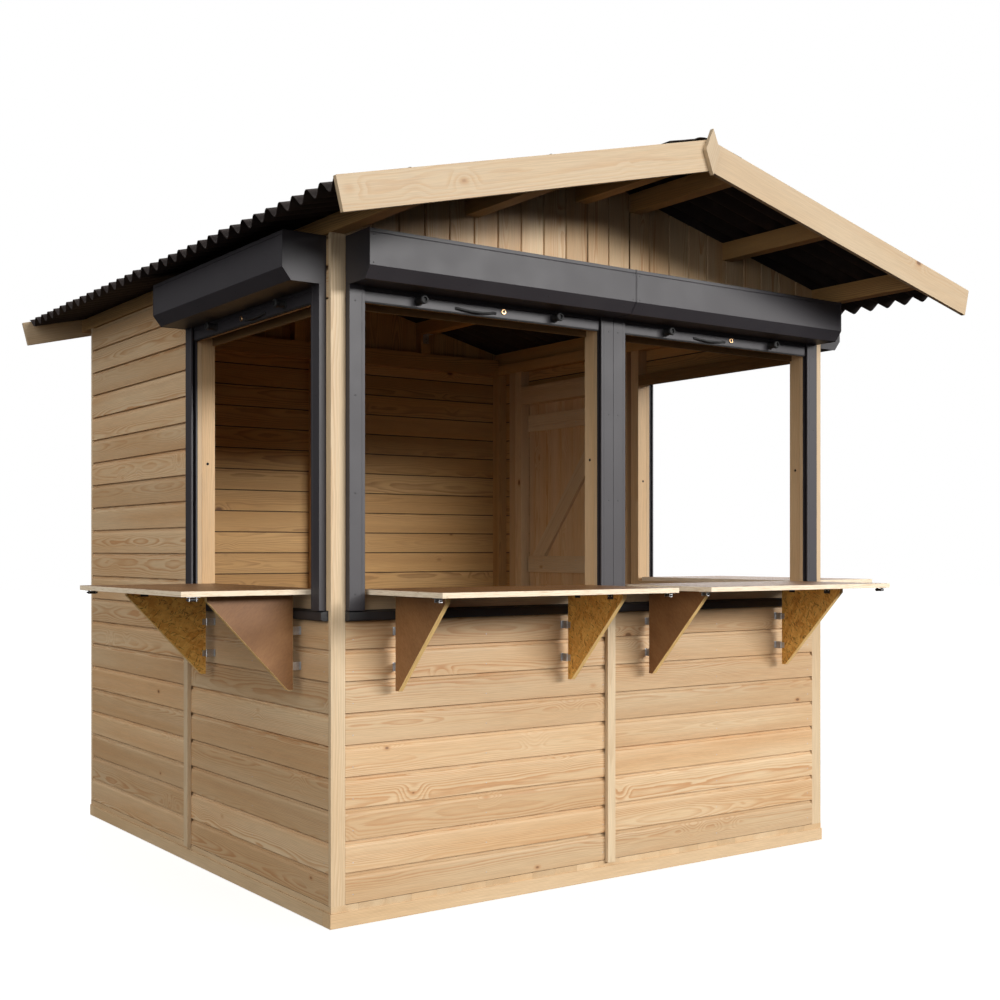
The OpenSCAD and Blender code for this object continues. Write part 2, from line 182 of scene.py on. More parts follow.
def solids_of(node: str) -> list[Solid]:
    """The separate solids of a CAD node, in the order of their lowest corners.

    Args:
        node: name of the CAD node.

    Returns:
        One Solid for each closed body in the node.
    """
    mesh = frame["nodes"][node].data
    keys = [tuple(round(c, 5) for c in v.co) for v in mesh.vertices]
    meeting: dict[tuple, list[int]] = {}
    for face in mesh.polygons:
        ring = [keys[v] for v in face.vertices]
        for a, b in zip(ring, ring[1:] + ring[:1]):
            meeting.setdefault((min(a, b), max(a, b)), []).append(face.index)
    parent = list(range(len(mesh.polygons)))

    def root(k: int) -> int:
        """The face that stands for k's solid.

        Args:
            k: number of a face.

        Returns:
            Number of the face that stands for its solid.
        """
        while parent[k] != k:
            parent[k] = parent[parent[k]]
            k = parent[k]
        return k

    for faces in meeting.values():
        if len(faces) == 2:
            parent[root(faces[0])] = root(faces[1])
    groups: dict[int, set[tuple]] = {}
    for face in mesh.polygons:
        groups.setdefault(root(face.index), set()).update(keys[v] for v in face.vertices)
    solids = [Solid(np.array(sorted(g))) for g in groups.values()]
    return sorted(solids, key=lambda s: tuple(round(c, 4) for c in (*s.low, *s.high)))


@dataclass(frozen=True)
class Wall:
    """One wall of the stall and its own directions."""

    side: Side
    face: float
    near: float = 0.8

    def at(self, along: float, out: float, up: float) -> Vector:
        """The point that lies along the wall, out from its outer face, and up.

        Args:
            along: place along the wall.
            out: distance out from the wall's outer face.
            up: height.

        Returns:
            The point in the scene.
        """
        reach = self.face + out
        return {
            Side.FRONT: Vector((along, -reach, up)),
            Side.BACK: Vector((along, reach, up)),
            Side.LEFT: Vector((-reach, along, up)),
            Side.RIGHT: Vector((reach, along, up)),
        }[self.side]

    @property
    def run(self) -> Vector:
        """Direction along the wall."""
        return self.at(1, 0, 0) - self.at(0, 0, 0)

    @property
    def outward(self) -> Vector:
        """Direction out of the wall."""
        return self.at(0, 1, 0) - self.at(0, 0, 0)

    def span(self, solid: Solid) -> Span:
        """A solid's box in the wall's own directions.

        Args:
            solid: any solid.

        Returns:
            The solid's box.
        """
        flat = 0 if self.side in (Side.FRONT, Side.BACK) else 1
        deep = 1 - flat
        sign = 1 if self.side in (Side.BACK, Side.RIGHT) else -1
        outs = sorted(sign * v[deep] - self.face for v in (solid.low, solid.high))
        return Span((solid.low[flat], solid.high[flat]), (outs[0], outs[1]),
                    (solid.low.z, solid.high.z))

    def holds(self, solid: Solid) -> bool:
        """True if the solid stands in or on this wall.

        Args:
            solid: any solid.

        Returns:
            True if this wall is the one it belongs to.
        """
        centre = solid.middle
        reach = {Side.FRONT: -centre.y, Side.BACK: centre.y,
                 Side.LEFT: -centre.x, Side.RIGHT: centre.x}[self.side]
        others = {Side.FRONT: abs(centre.x), Side.BACK: abs(centre.x),
                  Side.LEFT: abs(centre.y), Side.RIGHT: abs(centre.y)}[self.side]
        return reach > others and reach > self.face * self.near

    def spans(self, node: str) -> list[Span]:
        """Boxes of the solids of a node that stand in or on this wall."""
        return [self.span(s) for s in solids_of(node) if self.holds(s)]


@dataclass(frozen=True)
class Grain:
    """How a board was cut: its directions, its place in the log and its own tone."""

    along: Vector
    across: Vector
    shift: Vector
    tone: Vector

    @staticmethod
    def cut(rng: random.Random, along: Vector, across: Vector, middle: Vector) -> "Grain":
        """A fresh board from another place in another log.

        Args:
            rng: the piece's own source of chance.
            along: direction of the fibres.
            across: direction over the board's width.
            middle: middle of the board.

        Returns:
            The board's grain.
        """
        through = along.cross(across)
        pith = Vector((rng.uniform(-40, 40), rng.uniform(-0.07, 0.07), rng.uniform(0.02, 0.11)))
        centre = Vector((0, middle.dot(across), middle.dot(through)))
        tone = Vector((rng.uniform(-1, 1), rng.uniform(-1, 1), rng.random()))
        return Grain(along, across, pith - centre, tone)

    def place(self, point: Vector) -> Vector:
        """Where a point lies in the log."""
        axes = (self.along, self.across, self.along.cross(self.across))
        return Vector([point.dot(axis) for axis in axes]) + self.shift


UPRIGHT = Vector((0, 0, 1))
NO_GRAIN = Grain(Vector((1, 0, 0)), Vector((0, 1, 0)), Vector((0, 0, 0)), Vector((0, 0, 0.5)))


def inset(outline: Sequence[Point], by: float) -> list[Point]:
    """A convex outline moved inwards by the same distance on every edge.

    Args:
        outline: corner points, anticlockwise.
        by: the distance.

    Returns:
        The smaller outline, with as many points.
    """
    n = len(outline)
    result = []
    for k in range(n):
        (ax, ay), (bx, by_), (cx, cy) = outline[k - 1], outline[k], outline[(k + 1) % n]
        first = Vector((bx - ax, by_ - ay)).normalized()
        second = Vector((cx - bx, cy - by_)).normalized()
        bisector = Vector((-(first.y + second.y), first.x + second.x))
        scale = by / max(bisector.dot(Vector((-first.y, first.x))), 0.2)
        result.append((bx + bisector.x * scale, by_ + bisector.y * scale))
    return result


def shares(span: Point, width: float) -> list[Point]:
    """Equal parts of a stretch, as near to a width as they come.

    Args:
        span: start and end of the stretch.
        width: the width wanted.

    Returns:
        Start and end of each part.
    """
    count = round((span[1] - span[0]) / width)
    step = (span[1] - span[0]) / count
    return [(span[0] + k * step, span[0] + (k + 1) * step) for k in range(count)]


def soften(outline: Sequence[Point], cut: float, steps: int = 3) -> list[Point]:
    """An outline with each corner rounded by a short curve.

    Args:
        outline: corner points.
        cut: how far from a corner the curve starts.
        steps: points on each curve.

    Returns:
        The rounded outline, with steps points for each corner.
    """
    n = len(outline)
    result = []
    for k in range(n):
        corner = Vector(outline[k])
        before, after = Vector(outline[k - 1]) - corner, Vector(outline[(k + 1) % n]) - corner
        start = corner + before.normalized() * min(cut, before.length * 0.45)
        end = corner + after.normalized() * min(cut, after.length * 0.45)
        for s in range(steps):
            t = s / (steps - 1)
            p = start * (1 - t) ** 2 + corner * 2 * t * (1 - t) + end * t ** 2
            result.append((p.x, p.y))
    return result


def clip(outline: Sequence[Point], limit: float, keep_below: bool) -> list[Point]:
    """The part of an outline below or above a height.

    Args:
        outline: points whose second number is the height.
        limit: the height of the cut.
        keep_below: True keeps what lies lower.

    Returns:
        The outline that is left, which may be empty.
    """
    sign = 1 if keep_below else -1
    result: list[Point] = []
    for k, here in enumerate(outline):
        last = outline[k - 1]
        side_last, side_here = sign * (limit - last[1]), sign * (limit - here[1])
        if (side_last < 0) != (side_here < 0):
            t = side_last / (side_last - side_here)
            result.append((last[0] + (here[0] - last[0]) * t, limit))
        if side_here >= 0:
            result.append(here)
    return result


class Skin:
    """Gathers the surfaces of one piece, with each point's grain, and makes its object."""

    def __init__(self) -> None:
        """Starts with no surface."""
        self.points: list[Vector] = []
        self.grain: list[Vector] = []
        self.tone: list[Vector] = []
        self.faces: list[tuple[int, ...]] = []
        self.slots: list[int] = []

    def ring(self, points: Iterable[Vector], grain: Grain) -> list[int]:
        """Adds points and gives their numbers.

        Args:
            points: the points.
            grain: the grain that they follow.

        Returns:
            The number of each point.
        """
        numbers = []
        for p in points:
            numbers.append(len(self.points))
            self.points.append(p)
            self.grain.append(grain.place(p))
            self.tone.append(grain.tone)
        return numbers

    def loft(self, rings: Sequence[Sequence[Vector]], grain: Grain = NO_GRAIN, slot: int = 0,
             caps: tuple[int, int] | None = None, capped: bool = True,
             edges: Sequence[int] | None = None) -> None:
        """Joins rings of points into one closed skin.

        Args:
            rings: rings with the same number of points each.
            grain: the grain that every point follows.
            slot: finish of the faces between rings.
            caps: finishes of the first and the last end, or None for the same finish.
            capped: False leaves the ends open.
            edges: finish of the strip that starts at each point of a ring, in place of slot.
        """
        numbers = [self.ring(r, grain) for r in rings]
        count = len(numbers[0])
        for a, b in zip(numbers, numbers[1:]):
            for k in range(count):
                n = (k + 1) % count
                self.faces.append((a[k], a[n], b[n], b[k]))
                self.slots.append(edges[k] if edges else slot)
        if capped:
            first, last = caps if caps else (slot, slot)
            self.faces.append(tuple(reversed(numbers[0])))
            self.faces.append(tuple(numbers[-1]))
            self.slots += [first, last]

    def prism(self, outline: Sequence[Point], depth: Point, place: Place,
              grain: Grain = NO_GRAIN, cut: float = 2 * MM, bevel: float = 1.5 * MM,
              slot: int = 0, caps: tuple[int, int] | None = None) -> None:
        """Adds a convex plate or bar with softened edges all round.

        Args:
            outline: convex outline, anticlockwise.
            depth: where the prism starts and ends.
            place: turns outline and depth numbers into a point.
            grain: the piece's grain.
            cut: rounding of the outline's corners.
            bevel: rounding of the two ends.
            slot: finish of the sides.
            caps: finishes of the two ends.
        """
        start, end = depth
        steps = [(bevel, start), (bevel * 0.3, start + bevel * 0.3), (0.0, start + bevel),
                 (0.0, end - bevel), (bevel * 0.3, end - bevel * 0.3), (bevel, end)]
        rings = []
        for back, d in steps:
            ring = soften(inset(outline, back) if back else outline, max(cut - back * 0.4, cut / 3))
            rings.append([place(a, b, d) for a, b in ring])
        self.loft(rings, grain, slot, caps)

    def box(self, wall: Wall, span: Span, grain: Grain = NO_GRAIN, cut: float = 1 * MM,
            slot: int = 0) -> None:
        """Adds a softened box on a wall.

        Args:
            wall: the wall.
            span: the box.
            grain: the grain that it follows.
            cut: rounding of its edges.
            slot: its finish.
        """
        (a0, a1), (o0, o1) = span.along, span.out
        outline = [(a0, o0), (a1, o0), (a1, o1), (a0, o1)]
        self.prism(outline, span.up, wall.at, grain, cut, cut, slot)

    def rail(self, wall: Wall, outline: Sequence[Point], along: Point, cut: float,
             slot: int = 0) -> None:
        """Adds a bar, its rounded outline given out and up, that runs straight along a wall."""
        rounded = soften(outline, cut)
        self.loft([[wall.at(u, o, z) for o, z in rounded] for u in along], slot=slot)

    def lathe(self, foot: Vector, axis: Vector, profile: Sequence[Point], segments: int = 20,
              slot: int = 0) -> None:
        """Adds a round piece turned about an axis.

        Args:
            foot: start of the axis.
            axis: direction of the axis.
            profile: pairs of distance along the axis and radius.
            segments: points round the piece.
            slot: its finish.
        """
        axis = axis.normalized()
        side = axis.orthogonal().normalized()
        other = axis.cross(side)
        rings = []
        for d, r in profile:
            ring = []
            for k in range(segments):
                a = math.tau * k / segments
                ring.append(foot + axis * d + (side * math.cos(a) + other * math.sin(a)) * r)
            rings.append(ring)
        self.loft(rings, NO_GRAIN, slot)

    def tube(self, path: Sequence[Vector], radius: float, segments: int = 12,
             slot: int = 0) -> None:
        """Adds a round bar along a path.

        Args:
            path: points along its middle.
            radius: its radius.
            segments: points round the bar.
            slot: its finish.
        """
        rings = []
        for k, p in enumerate(path):
            ahead = path[min(k + 1, len(path) - 1)] - path[max(k - 1, 0)]
            axis = ahead.normalized()
            side = axis.cross(UPRIGHT)
            side = side.normalized() if side.length > 0.1 else Vector((1, 0, 0))
            other = axis.cross(side)
            turns = [math.tau * s / segments for s in range(segments)]
            rings.append([p + (side * math.cos(a) + other * math.sin(a)) * radius for a in turns])
        self.loft(rings, NO_GRAIN, slot)

    def screw(self, spot: Vector, outward: Vector, radius: float = 3.5 * MM,
              slot: int = 0) -> None:
        """Adds a low domed screw or nail head.

        Args:
            spot: where it meets the surface.
            outward: direction out of the surface.
            radius: its radius.
            slot: its finish.
        """
        rise = radius * 0.35
        self.lathe(spot - outward * rise, outward,
                   [(0, radius), (rise * 1.2, radius), (rise * 1.9, radius * 0.55),
                    (rise * 2, radius * 0.1)], 8, slot)

    def build(self, name: str, finishes: Sequence["Finish"],
              crease: float = 32.0) -> bpy.types.Object:
        """Makes the object.

        Args:
            name: name of the piece.
            finishes: one finish for each slot number.
            crease: angle in degrees above which an edge stays sharp.

        Returns:
            The new object, linked into the scene.
        """
        mesh = bpy.data.meshes.new(name)
        mesh.from_pydata([tuple(p) for p in self.points], [], self.faces)
        for key, values in (("grain", self.grain), ("tone", self.tone)):
            layer = mesh.attributes.new(key, "FLOAT_VECTOR", "POINT")
            layer.data.foreach_set("vector", np.array(values, np.float32).ravel())
        for finish in finishes:
            mesh.materials.append(finish.material())
        mesh.polygons.foreach_set("material_index", self.slots)
        shape = bmesh.new()
        shape.from_mesh(mesh)
        bmesh.ops.recalc_face_normals(shape, faces=shape.faces)
        shape.to_mesh(mesh)
        shape.free()
        mesh.shade_smooth()
        mesh.set_sharp_from_angle(angle=math.radians(crease))
        piece = bpy.data.objects.new(name, mesh)
        bpy.context.scene.collection.objects.link(piece)
        even = piece.modifiers.new("even_shading", "WEIGHTED_NORMAL")
        even.keep_sharp = True
        return piece

    def fit(self, name: str, finishes: Sequence["Finish"], body: str, slot: str, *nodes: str,
            crease: float = 32.0) -> None:
        """Makes the piece, puts it on its body and lets it stand for CAD nodes.

        Args:
            name: name of the piece.
            finishes: one finish for each slot number.
            body: the CAD body that it moves with.
            slot: the record's material slot; not used.
            nodes: CAD nodes that it replaces.
            crease: angle in degrees above which an edge stays sharp.
        """
        piece = self.build(name, finishes, crease)
        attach(piece, body)
        if nodes:
            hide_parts(*nodes)
        LOG.info("%s: %d faces on %s", name, len(piece.data.polygons), body)


# ---- finishes --------------------------------------------------------------------------------

Socket = bpy.types.NodeSocket
Material = bpy.types.Material
Colour = tuple[float, float, float]


class Recipe:
    """A short way to write a material's nodes."""

    def __init__(self, name: str) -> None:
        """Starts a material with one surface shader.

        Args:
            name: name of the material.
        """
        self.result = bpy.data.materials.new(name)
        self.result.use_nodes = True
        self.tree = self.result.node_tree
        self.shader = self.tree.nodes["Principled BSDF"]

    def node(self, kind: str, inputs: dict[str | int, object] | None = None,
             **settings: object) -> bpy.types.Node:
        """Adds a node.

        Args:
            kind: the node's type.
            inputs: sockets by name or number, each with what join takes.
            settings: the node's own options.

        Returns:
            The new node.
        """
        made = self.tree.nodes.new(kind)
        for key, value in settings.items():
            setattr(made, key, value)
        for key, value in (inputs or {}).items():
            self.join(value, made.inputs[key])
        return made

    def join(self, value: object, socket: Socket) -> None:
        """Sets a socket, or links it if the value is an output.

        Args:
            value: a number, a vector, a colour or another node's output.
            socket: the socket.
        """
        if isinstance(value, bpy.types.NodeSocket):
            self.tree.links.new(value, socket)
        elif socket.type == "RGBA":
            socket.default_value = (*value, 1.0)
        else:
            socket.default_value = value

    def attribute(self, name: str) -> Socket:
        """A vector that the mesh carries at each point."""
        return self.node("ShaderNodeAttribute", attribute_name=name).outputs["Vector"]

    def place(self) -> Socket:
        """Where the surface lies, in metres."""
        return self.node("ShaderNodeTexCoord").outputs["Object"]

    def scaled(self, vector: Socket, scale: Colour) -> Socket:
        """A vector stretched along each axis."""
        made = self.node("ShaderNodeVectorMath", {0: vector, 1: scale}, operation="MULTIPLY")
        return made.outputs[0]

    def combine(self, x: object, y: object, z: object) -> Socket:
        """A vector from three numbers."""
        made = self.node("ShaderNodeCombineXYZ", {"X": x, "Y": y, "Z": z})
        return made.outputs[0]

    def split(self, vector: Socket) -> tuple[Socket, Socket, Socket]:
        """The three numbers of a vector."""
        made = self.node("ShaderNodeSeparateXYZ", {"Vector": vector})
        return made.outputs[0], made.outputs[1], made.outputs[2]

    def sum(self, a: object, b: object, operation: str = "ADD") -> Socket:
        """Two numbers added, or joined by another operation."""
        return self.node("ShaderNodeMath", {0: a, 1: b}, operation=operation).outputs[0]

    def times(self, a: object, b: object) -> Socket:
        """Two numbers multiplied."""
        return self.sum(a, b, "MULTIPLY")

    def noise(self, vector: Socket, scale: float | Colour, detail: float = 2.0,
              roughness: float = 0.5) -> Socket:
        """Soft chance between 0 and 1.

        Args:
            vector: where the pattern is read.
            scale: patches in a metre, all round or for each axis.
            detail: layers of finer chance.
            roughness: strength of the finer layers.

        Returns:
            The chance at each point.
        """
        if isinstance(scale, tuple):
            vector, scale = self.scaled(vector, scale), 1.0
        return self.node("ShaderNodeTexNoise", {"Vector": vector, "Scale": scale, "Detail": detail,
                                                "Roughness": roughness}).outputs["Fac"]

    def cells(self, vector: Socket, scale: float | Colour, **settings: object
              ) -> dict[str, Socket]:
        """Cells scattered by chance.

        Args:
            vector: where the pattern is read.
            scale: cells in a metre, all round or for each axis.
            settings: the pattern's own options.

        Returns:
            The Distance from the nearest cell's middle and that cell's Color.
        """
        if isinstance(scale, tuple):
            vector, scale = self.scaled(vector, scale), 1.0
        made = self.node("ShaderNodeTexVoronoi", {"Vector": vector, "Scale": scale}, **settings)
        return made.outputs

    def spread(self, value: Socket, low: float, high: float, to_low: float = 0.0,
               to_high: float = 1.0, smooth: bool = True) -> Socket:
        """A number moved from one range to another and held inside it.

        Args:
            value: the number.
            low: start of its range.
            high: end of its range.
            to_low: what the start becomes.
            to_high: what the end becomes.
            smooth: True eases both ends.

        Returns:
            The moved number.
        """
        made = self.node("ShaderNodeMapRange", {"Value": value, "From Min": low, "From Max": high,
                                                "To Min": to_low, "To Max": to_high},
                         interpolation_type="SMOOTHSTEP" if smooth else "LINEAR")
        return made.outputs["Result"]

    def mix(self, fac: object, a: object, b: object, blend: str = "MIX") -> Socket:
        """Two colours mixed; fac is the second one's share."""
        return self.node("ShaderNodeMix", {0: fac, 6: a, 7: b}, data_type="RGBA",
                         blend_type=blend).outputs[2]

    def bump(self, height: Socket, strength: float, distance: float) -> None:
        """Gives the surface relief.

        Args:
            height: height of the relief.
            strength: share of it that shows.
            distance: depth in metres.
        """
        made = self.node("ShaderNodeBump", {"Height": height, "Strength": strength,
                                            "Distance": distance})
        self.join(made.outputs[0], self.shader.inputs["Normal"])

    def surface(self, **sockets: object) -> Material:
        """Sets the shader's own sockets and gives the finished material.

        Args:
            sockets: a value for each socket, with _ for a space in its name.

        Returns:
            The material.
        """
        for key, value in sockets.items():
            self.join(value, self.shader.inputs[key.replace("_", " ")])
        return self.result


@dataclass(frozen=True)
class Finish:
    """A surface finish that makes its material once."""

    name: str

    def material(self) -> Material:
        """The finish's material, made at its first use."""
        known = bpy.data.materials.get(self.name)
        return known if known else self.mixed(Recipe(self.name))

    def mixed(self, recipe: Recipe) -> Material:
        """Fills the recipe; each finish has its own."""
        raise NotImplementedError(self.name)


@dataclass(frozen=True)
class Pine(Finish):
    """Planed softwood: rings cut through a log, fibres, knots and a tone for each board."""

    pale: Colour = (0.66, 0.49, 0.30)
    warm: Colour = (0.60, 0.40, 0.215)
    late: Colour = (0.40, 0.195, 0.07)
    knot: Colour = (0.15, 0.07, 0.03)
    ring_gap: float = 0.0045
    contrast: float = 0.5
    knots: float = 0.3
    knot_cells: Colour = (4.6, 8.0, 8.0)
    knot_sizes: Point = (0.028, 0.085)
    knot_pull: float = 0.012
    sway: float = 0.045
    wobble: float = 0.8
    fibres: Colour = (9.0, 420.0, 420.0)
    board_tones: Point = (0.9, 1.08)
    roughness: float = 0.52

    def mixed(self, recipe: Recipe) -> Material:
        """Rings bend round the knots; fibres run along the board.

        Args:
            recipe: the new material's nodes.

        Returns:
            The finished material.
        """
        grain = recipe.attribute("grain")
        bright, hue, _ = recipe.split(recipe.attribute("tone"))
        cells = recipe.cells(grain, self.knot_cells)
        knot_gap = cells["Distance"]
        rare = recipe.split(cells["Color"])
        there = recipe.sum(rare[0], self.knots, "LESS_THAN")
        pull = recipe.times(recipe.spread(knot_gap, 0.05, 0.4, self.knot_pull, 0.0), there)
        drift = recipe.noise(grain, (1.1, 2.2, 2.2), 2.0)
        sway = recipe.times(recipe.sum(drift, 0.5, "SUBTRACT"), self.sway)
        _, y, z = recipe.split(grain)
        radius = recipe.sum(recipe.times(y, y), recipe.times(z, z))
        radius = recipe.sum(recipe.sum(radius, 0.5, "POWER"), recipe.sum(sway, pull))
        wobble = recipe.noise(grain, (6.0, 60.0, 60.0), 3.0)
        turns = recipe.sum(recipe.sum(radius, self.ring_gap, "DIVIDE"),
                           recipe.times(wobble, self.wobble))
        ring = recipe.sum(turns, 0.0, "FRACT")
        wood = recipe.times(recipe.spread(ring, 0.25, 0.86),
                            recipe.spread(ring, 0.9, 1.0, 1.0, 0.0))
        years = recipe.noise(grain, (0.4, 22.0, 22.0), 2.0)
        wood = recipe.times(wood, recipe.spread(years, 0.35, 0.68, 0.25, 1.0))
        fibre = recipe.noise(grain, self.fibres, 3.0, 0.6)
        cloud = recipe.noise(grain, (0.9, 7.0, 7.0), 3.0)
        colour = recipe.mix(recipe.spread(cloud, 0.3, 0.72), self.pale, self.warm)
        colour = recipe.mix(recipe.spread(hue, -1.0, 1.0, 0.0, 0.34), colour, self.warm)
        colour = recipe.mix(recipe.times(wood, self.contrast), colour, self.late)
        shade = recipe.times(recipe.spread(fibre, 0.25, 0.75, 0.88, 1.08),
                             recipe.spread(bright, -1.0, 1.0, *self.board_tones))
        colour = recipe.mix(1.0, colour, recipe.combine(shade, shade, shade), "MULTIPLY")
        size = recipe.spread(rare[1], 0.0, 1.0, *self.knot_sizes)
        rim = recipe.sum(knot_gap, size, "SUBTRACT")
        halo = recipe.times(recipe.spread(rim, -0.01, 0.07, 0.5, 0.0), there)
        colour = recipe.mix(halo, colour, self.late)
        heart = recipe.times(recipe.spread(rim, -0.03, 0.012, 0.85, 0.0), there)
        colour = recipe.mix(heart, colour, self.knot)
        relief = recipe.sum(recipe.times(wood, 0.5), recipe.times(fibre, 0.6))
        recipe.bump(relief, 0.22, 0.6 * MM)
        gloss = recipe.spread(fibre, 0.2, 0.8, self.roughness - 0.06, self.roughness + 0.1)
        return recipe.surface(Base_Color=colour, Roughness=gloss, Specular_IOR_Level=0.35)


@dataclass(frozen=True)
class FilmFace(Finish):
    """Brown resin film pressed on strand board, whose chips show through as faint relief."""

    light: Colour = (0.34, 0.165, 0.064)
    dark: Colour = (0.205, 0.092, 0.033)
    roughness: float = 0.36
    chips: Colour = (14.0, 46.0, 46.0)

    def mixed(self, recipe: Recipe) -> Material:
        """Chips read through the film as soft patches.

        Args:
            recipe: the new material's nodes.

        Returns:
            The finished material.
        """
        place = recipe.attribute("grain")
        chips = recipe.cells(place, self.chips, feature="SMOOTH_F1")["Distance"]
        cloud = recipe.noise(place, (3.0, 6.0, 6.0), 4.0)
        speck = recipe.noise(place, (60.0, 220.0, 220.0), 3.0)
        fac = recipe.sum(recipe.spread(cloud, 0.3, 0.7, 0.0, 0.7),
                         recipe.spread(speck, 0.35, 0.7, 0.0, 0.35))
        colour = recipe.mix(fac, self.light, self.dark)
        chip_fac = recipe.spread(chips, 0.1, 0.7, 0.0, 0.28)
        colour = recipe.mix(chip_fac, colour, self.dark)
        recipe.bump(recipe.sum(chips, speck), 0.25, 0.5 * MM)
        gloss = recipe.spread(speck, 0.3, 0.7, self.roughness - 0.05, self.roughness + 0.12)
        return recipe.surface(Base_Color=colour, Roughness=gloss, Specular_IOR_Level=0.36)


@dataclass(frozen=True)
class StrandBoard(Finish):
    """Oriented strand board: golden flakes laid at many angles, with dark slivers between them."""

    light: Colour = (0.98, 0.60, 0.15)
    deep: Colour = (0.70, 0.32, 0.06)
    gap: Colour = (0.13, 0.045, 0.01)
    angles: tuple[float, ...] = (0.1, 0.55, 2.75, 1.3)
    flakes: Colour = (22.0, 95.0, 3.0)
    slivers: Colour = (32.0, 150.0, 9.0)

    def mixed(self, recipe: Recipe) -> Material:
        """Each layer of flakes lies at its own angle; the top one wins by chance.

        Args:
            recipe: the new material's nodes.

        Returns:
            The finished material.
        """
        place = recipe.attribute("grain")
        colour: Socket | Colour = self.light
        slivers: Socket | None = None
        for layer, angle in enumerate(self.angles):
            lie = recipe.node("ShaderNodeMapping", {
                "Vector": place, "Rotation": (0.0, 0.0, angle)}).outputs[0]
            pick, tint, _ = recipe.split(recipe.cells(lie, self.flakes)["Color"])
            on_top = recipe.sum(pick, 0.0 if layer == 0 else 0.6, "GREATER_THAN")
            colour = recipe.mix(on_top, colour, recipe.mix(tint, self.deep, self.light))
            streak = recipe.noise(lie, self.slivers, 3.0, 0.6)
            dark = recipe.spread(streak, 0.60, 0.69, 0.0, 0.8)
            slivers = dark if slivers is None else recipe.sum(slivers, dark, "MAXIMUM")
        speck = recipe.noise(place, (90.0, 380.0, 90.0), 3.0)
        colour = recipe.mix(slivers, colour, self.gap)
        colour = recipe.mix(recipe.spread(speck, 0.35, 0.75, 0.0, 0.3), colour, self.deep)
        recipe.bump(recipe.sum(speck, slivers, "SUBTRACT"), 0.3, 0.8 * MM)
        return recipe.surface(Base_Color=colour, Roughness=0.55, Specular_IOR_Level=0.35)


@dataclass(frozen=True)
class SawnEdge(Finish):
    """The pale sawn edge of a layered board."""

    light: Colour = (0.88, 0.75, 0.57)
    dark: Colour = (0.58, 0.41, 0.25)

    def mixed(self, recipe: Recipe) -> Material:
        """Thin layers run parallel to the faces, with short dark voids.

        Args:
            recipe: the new material's nodes.

        Returns:
            The finished material.
        """
        place = recipe.attribute("grain")
        layers = recipe.noise(place, (16.0, 16.0, 520.0), 3.0, 0.6)
        voids = recipe.noise(place, (45.0, 45.0, 300.0), 2.0)
        fac = recipe.spread(layers, 0.42, 0.72, 0.0, 0.7)
        colour = recipe.mix(fac, self.light, self.dark)
        colour = recipe.mix(recipe.spread(voids, 0.62, 0.72, 0.0, 0.6), colour, self.dark)
        recipe.bump(layers, 0.3, 0.6 * MM)
        return recipe.surface(Base_Color=colour, Roughness=0.7, Specular_IOR_Level=0.25)


@dataclass(frozen=True)
class PowderCoat(Finish):
    """Anthracite powder coat with a fine orange-peel skin and a little dust."""

    base: Colour = (0.035, 0.0315, 0.037)
    dust: Colour = (0.052, 0.048, 0.052)
    roughness: float = 0.5
    metallic: float = 0.0

    def mixed(self, recipe: Recipe) -> Material:
        """Dust gathers in soft patches over a fine skin.

        Args:
            recipe: the new material's nodes.

        Returns:
            The finished material.
        """
        place = recipe.place()
        patches = recipe.noise(place, 5.0, 5.0, 0.6)
        skin = recipe.noise(place, 700.0, 2.0)
        colour = recipe.mix(recipe.spread(patches, 0.42, 0.75, 0.0, 0.3), self.base, self.dust)
        recipe.bump(skin, 0.12, 0.3 * MM)
        gloss = recipe.spread(patches, 0.3, 0.7, self.roughness - 0.02, self.roughness + 0.03)
        return recipe.surface(Base_Color=colour, Roughness=gloss, Metallic=self.metallic,
                              Specular_IOR_Level=0.5)


@dataclass(frozen=True)
class BitumenSheet(Finish):
    """Fibrous black bitumen sheet, matt, with a little pale dust on it."""

    base: Colour = (0.024, 0.017, 0.0155)
    dust: Colour = (0.066, 0.050, 0.044)

    def mixed(self, recipe: Recipe) -> Material:
        """Coarse fibre relief under uneven dust.

        Args:
            recipe: the new material's nodes.

        Returns:
            The finished material.
        """
        place = recipe.place()
        fibre = recipe.noise(place, 420.0, 4.0, 0.7)
        dust = recipe.noise(place, 7.0, 5.0, 0.65)
        colour = recipe.mix(recipe.spread(dust, 0.45, 0.78, 0.0, 0.5), self.base, self.dust)
        colour = recipe.mix(recipe.spread(fibre, 0.5, 0.8, 0.0, 0.35), colour, self.dust)
        recipe.bump(fibre, 0.5, 0.8 * MM)
        return recipe.surface(Base_Color=colour, Roughness=0.78, Specular_IOR_Level=0.3)


@dataclass(frozen=True)
class Metal(Finish):
    """Bare or plated metal with faint spangle and rubbed patches."""

    base: Colour = (0.60, 0.61, 0.63)
    worn: Colour = (0.42, 0.42, 0.43)
    roughness: float = 0.46
    spangle: float = 260.0

    def mixed(self, recipe: Recipe) -> Material:
        """Crystals of plating change tone and gloss a little.

        Args:
            recipe: the new material's nodes.

        Returns:
            The finished material.
        """
        place = recipe.place()
        spangle = recipe.cells(place, self.spangle)
        patches = recipe.noise(place, 60.0, 3.0)
        tone = recipe.split(spangle["Color"])[0]
        colour = recipe.mix(recipe.times(tone, 0.5), self.base, self.worn)
        colour = recipe.mix(recipe.spread(patches, 0.4, 0.75, 0.0, 0.5), colour, self.worn)
        gloss = recipe.spread(patches, 0.3, 0.7, self.roughness - 0.08, self.roughness + 0.12)
        return recipe.surface(Base_Color=colour, Roughness=gloss, Metallic=1.0)


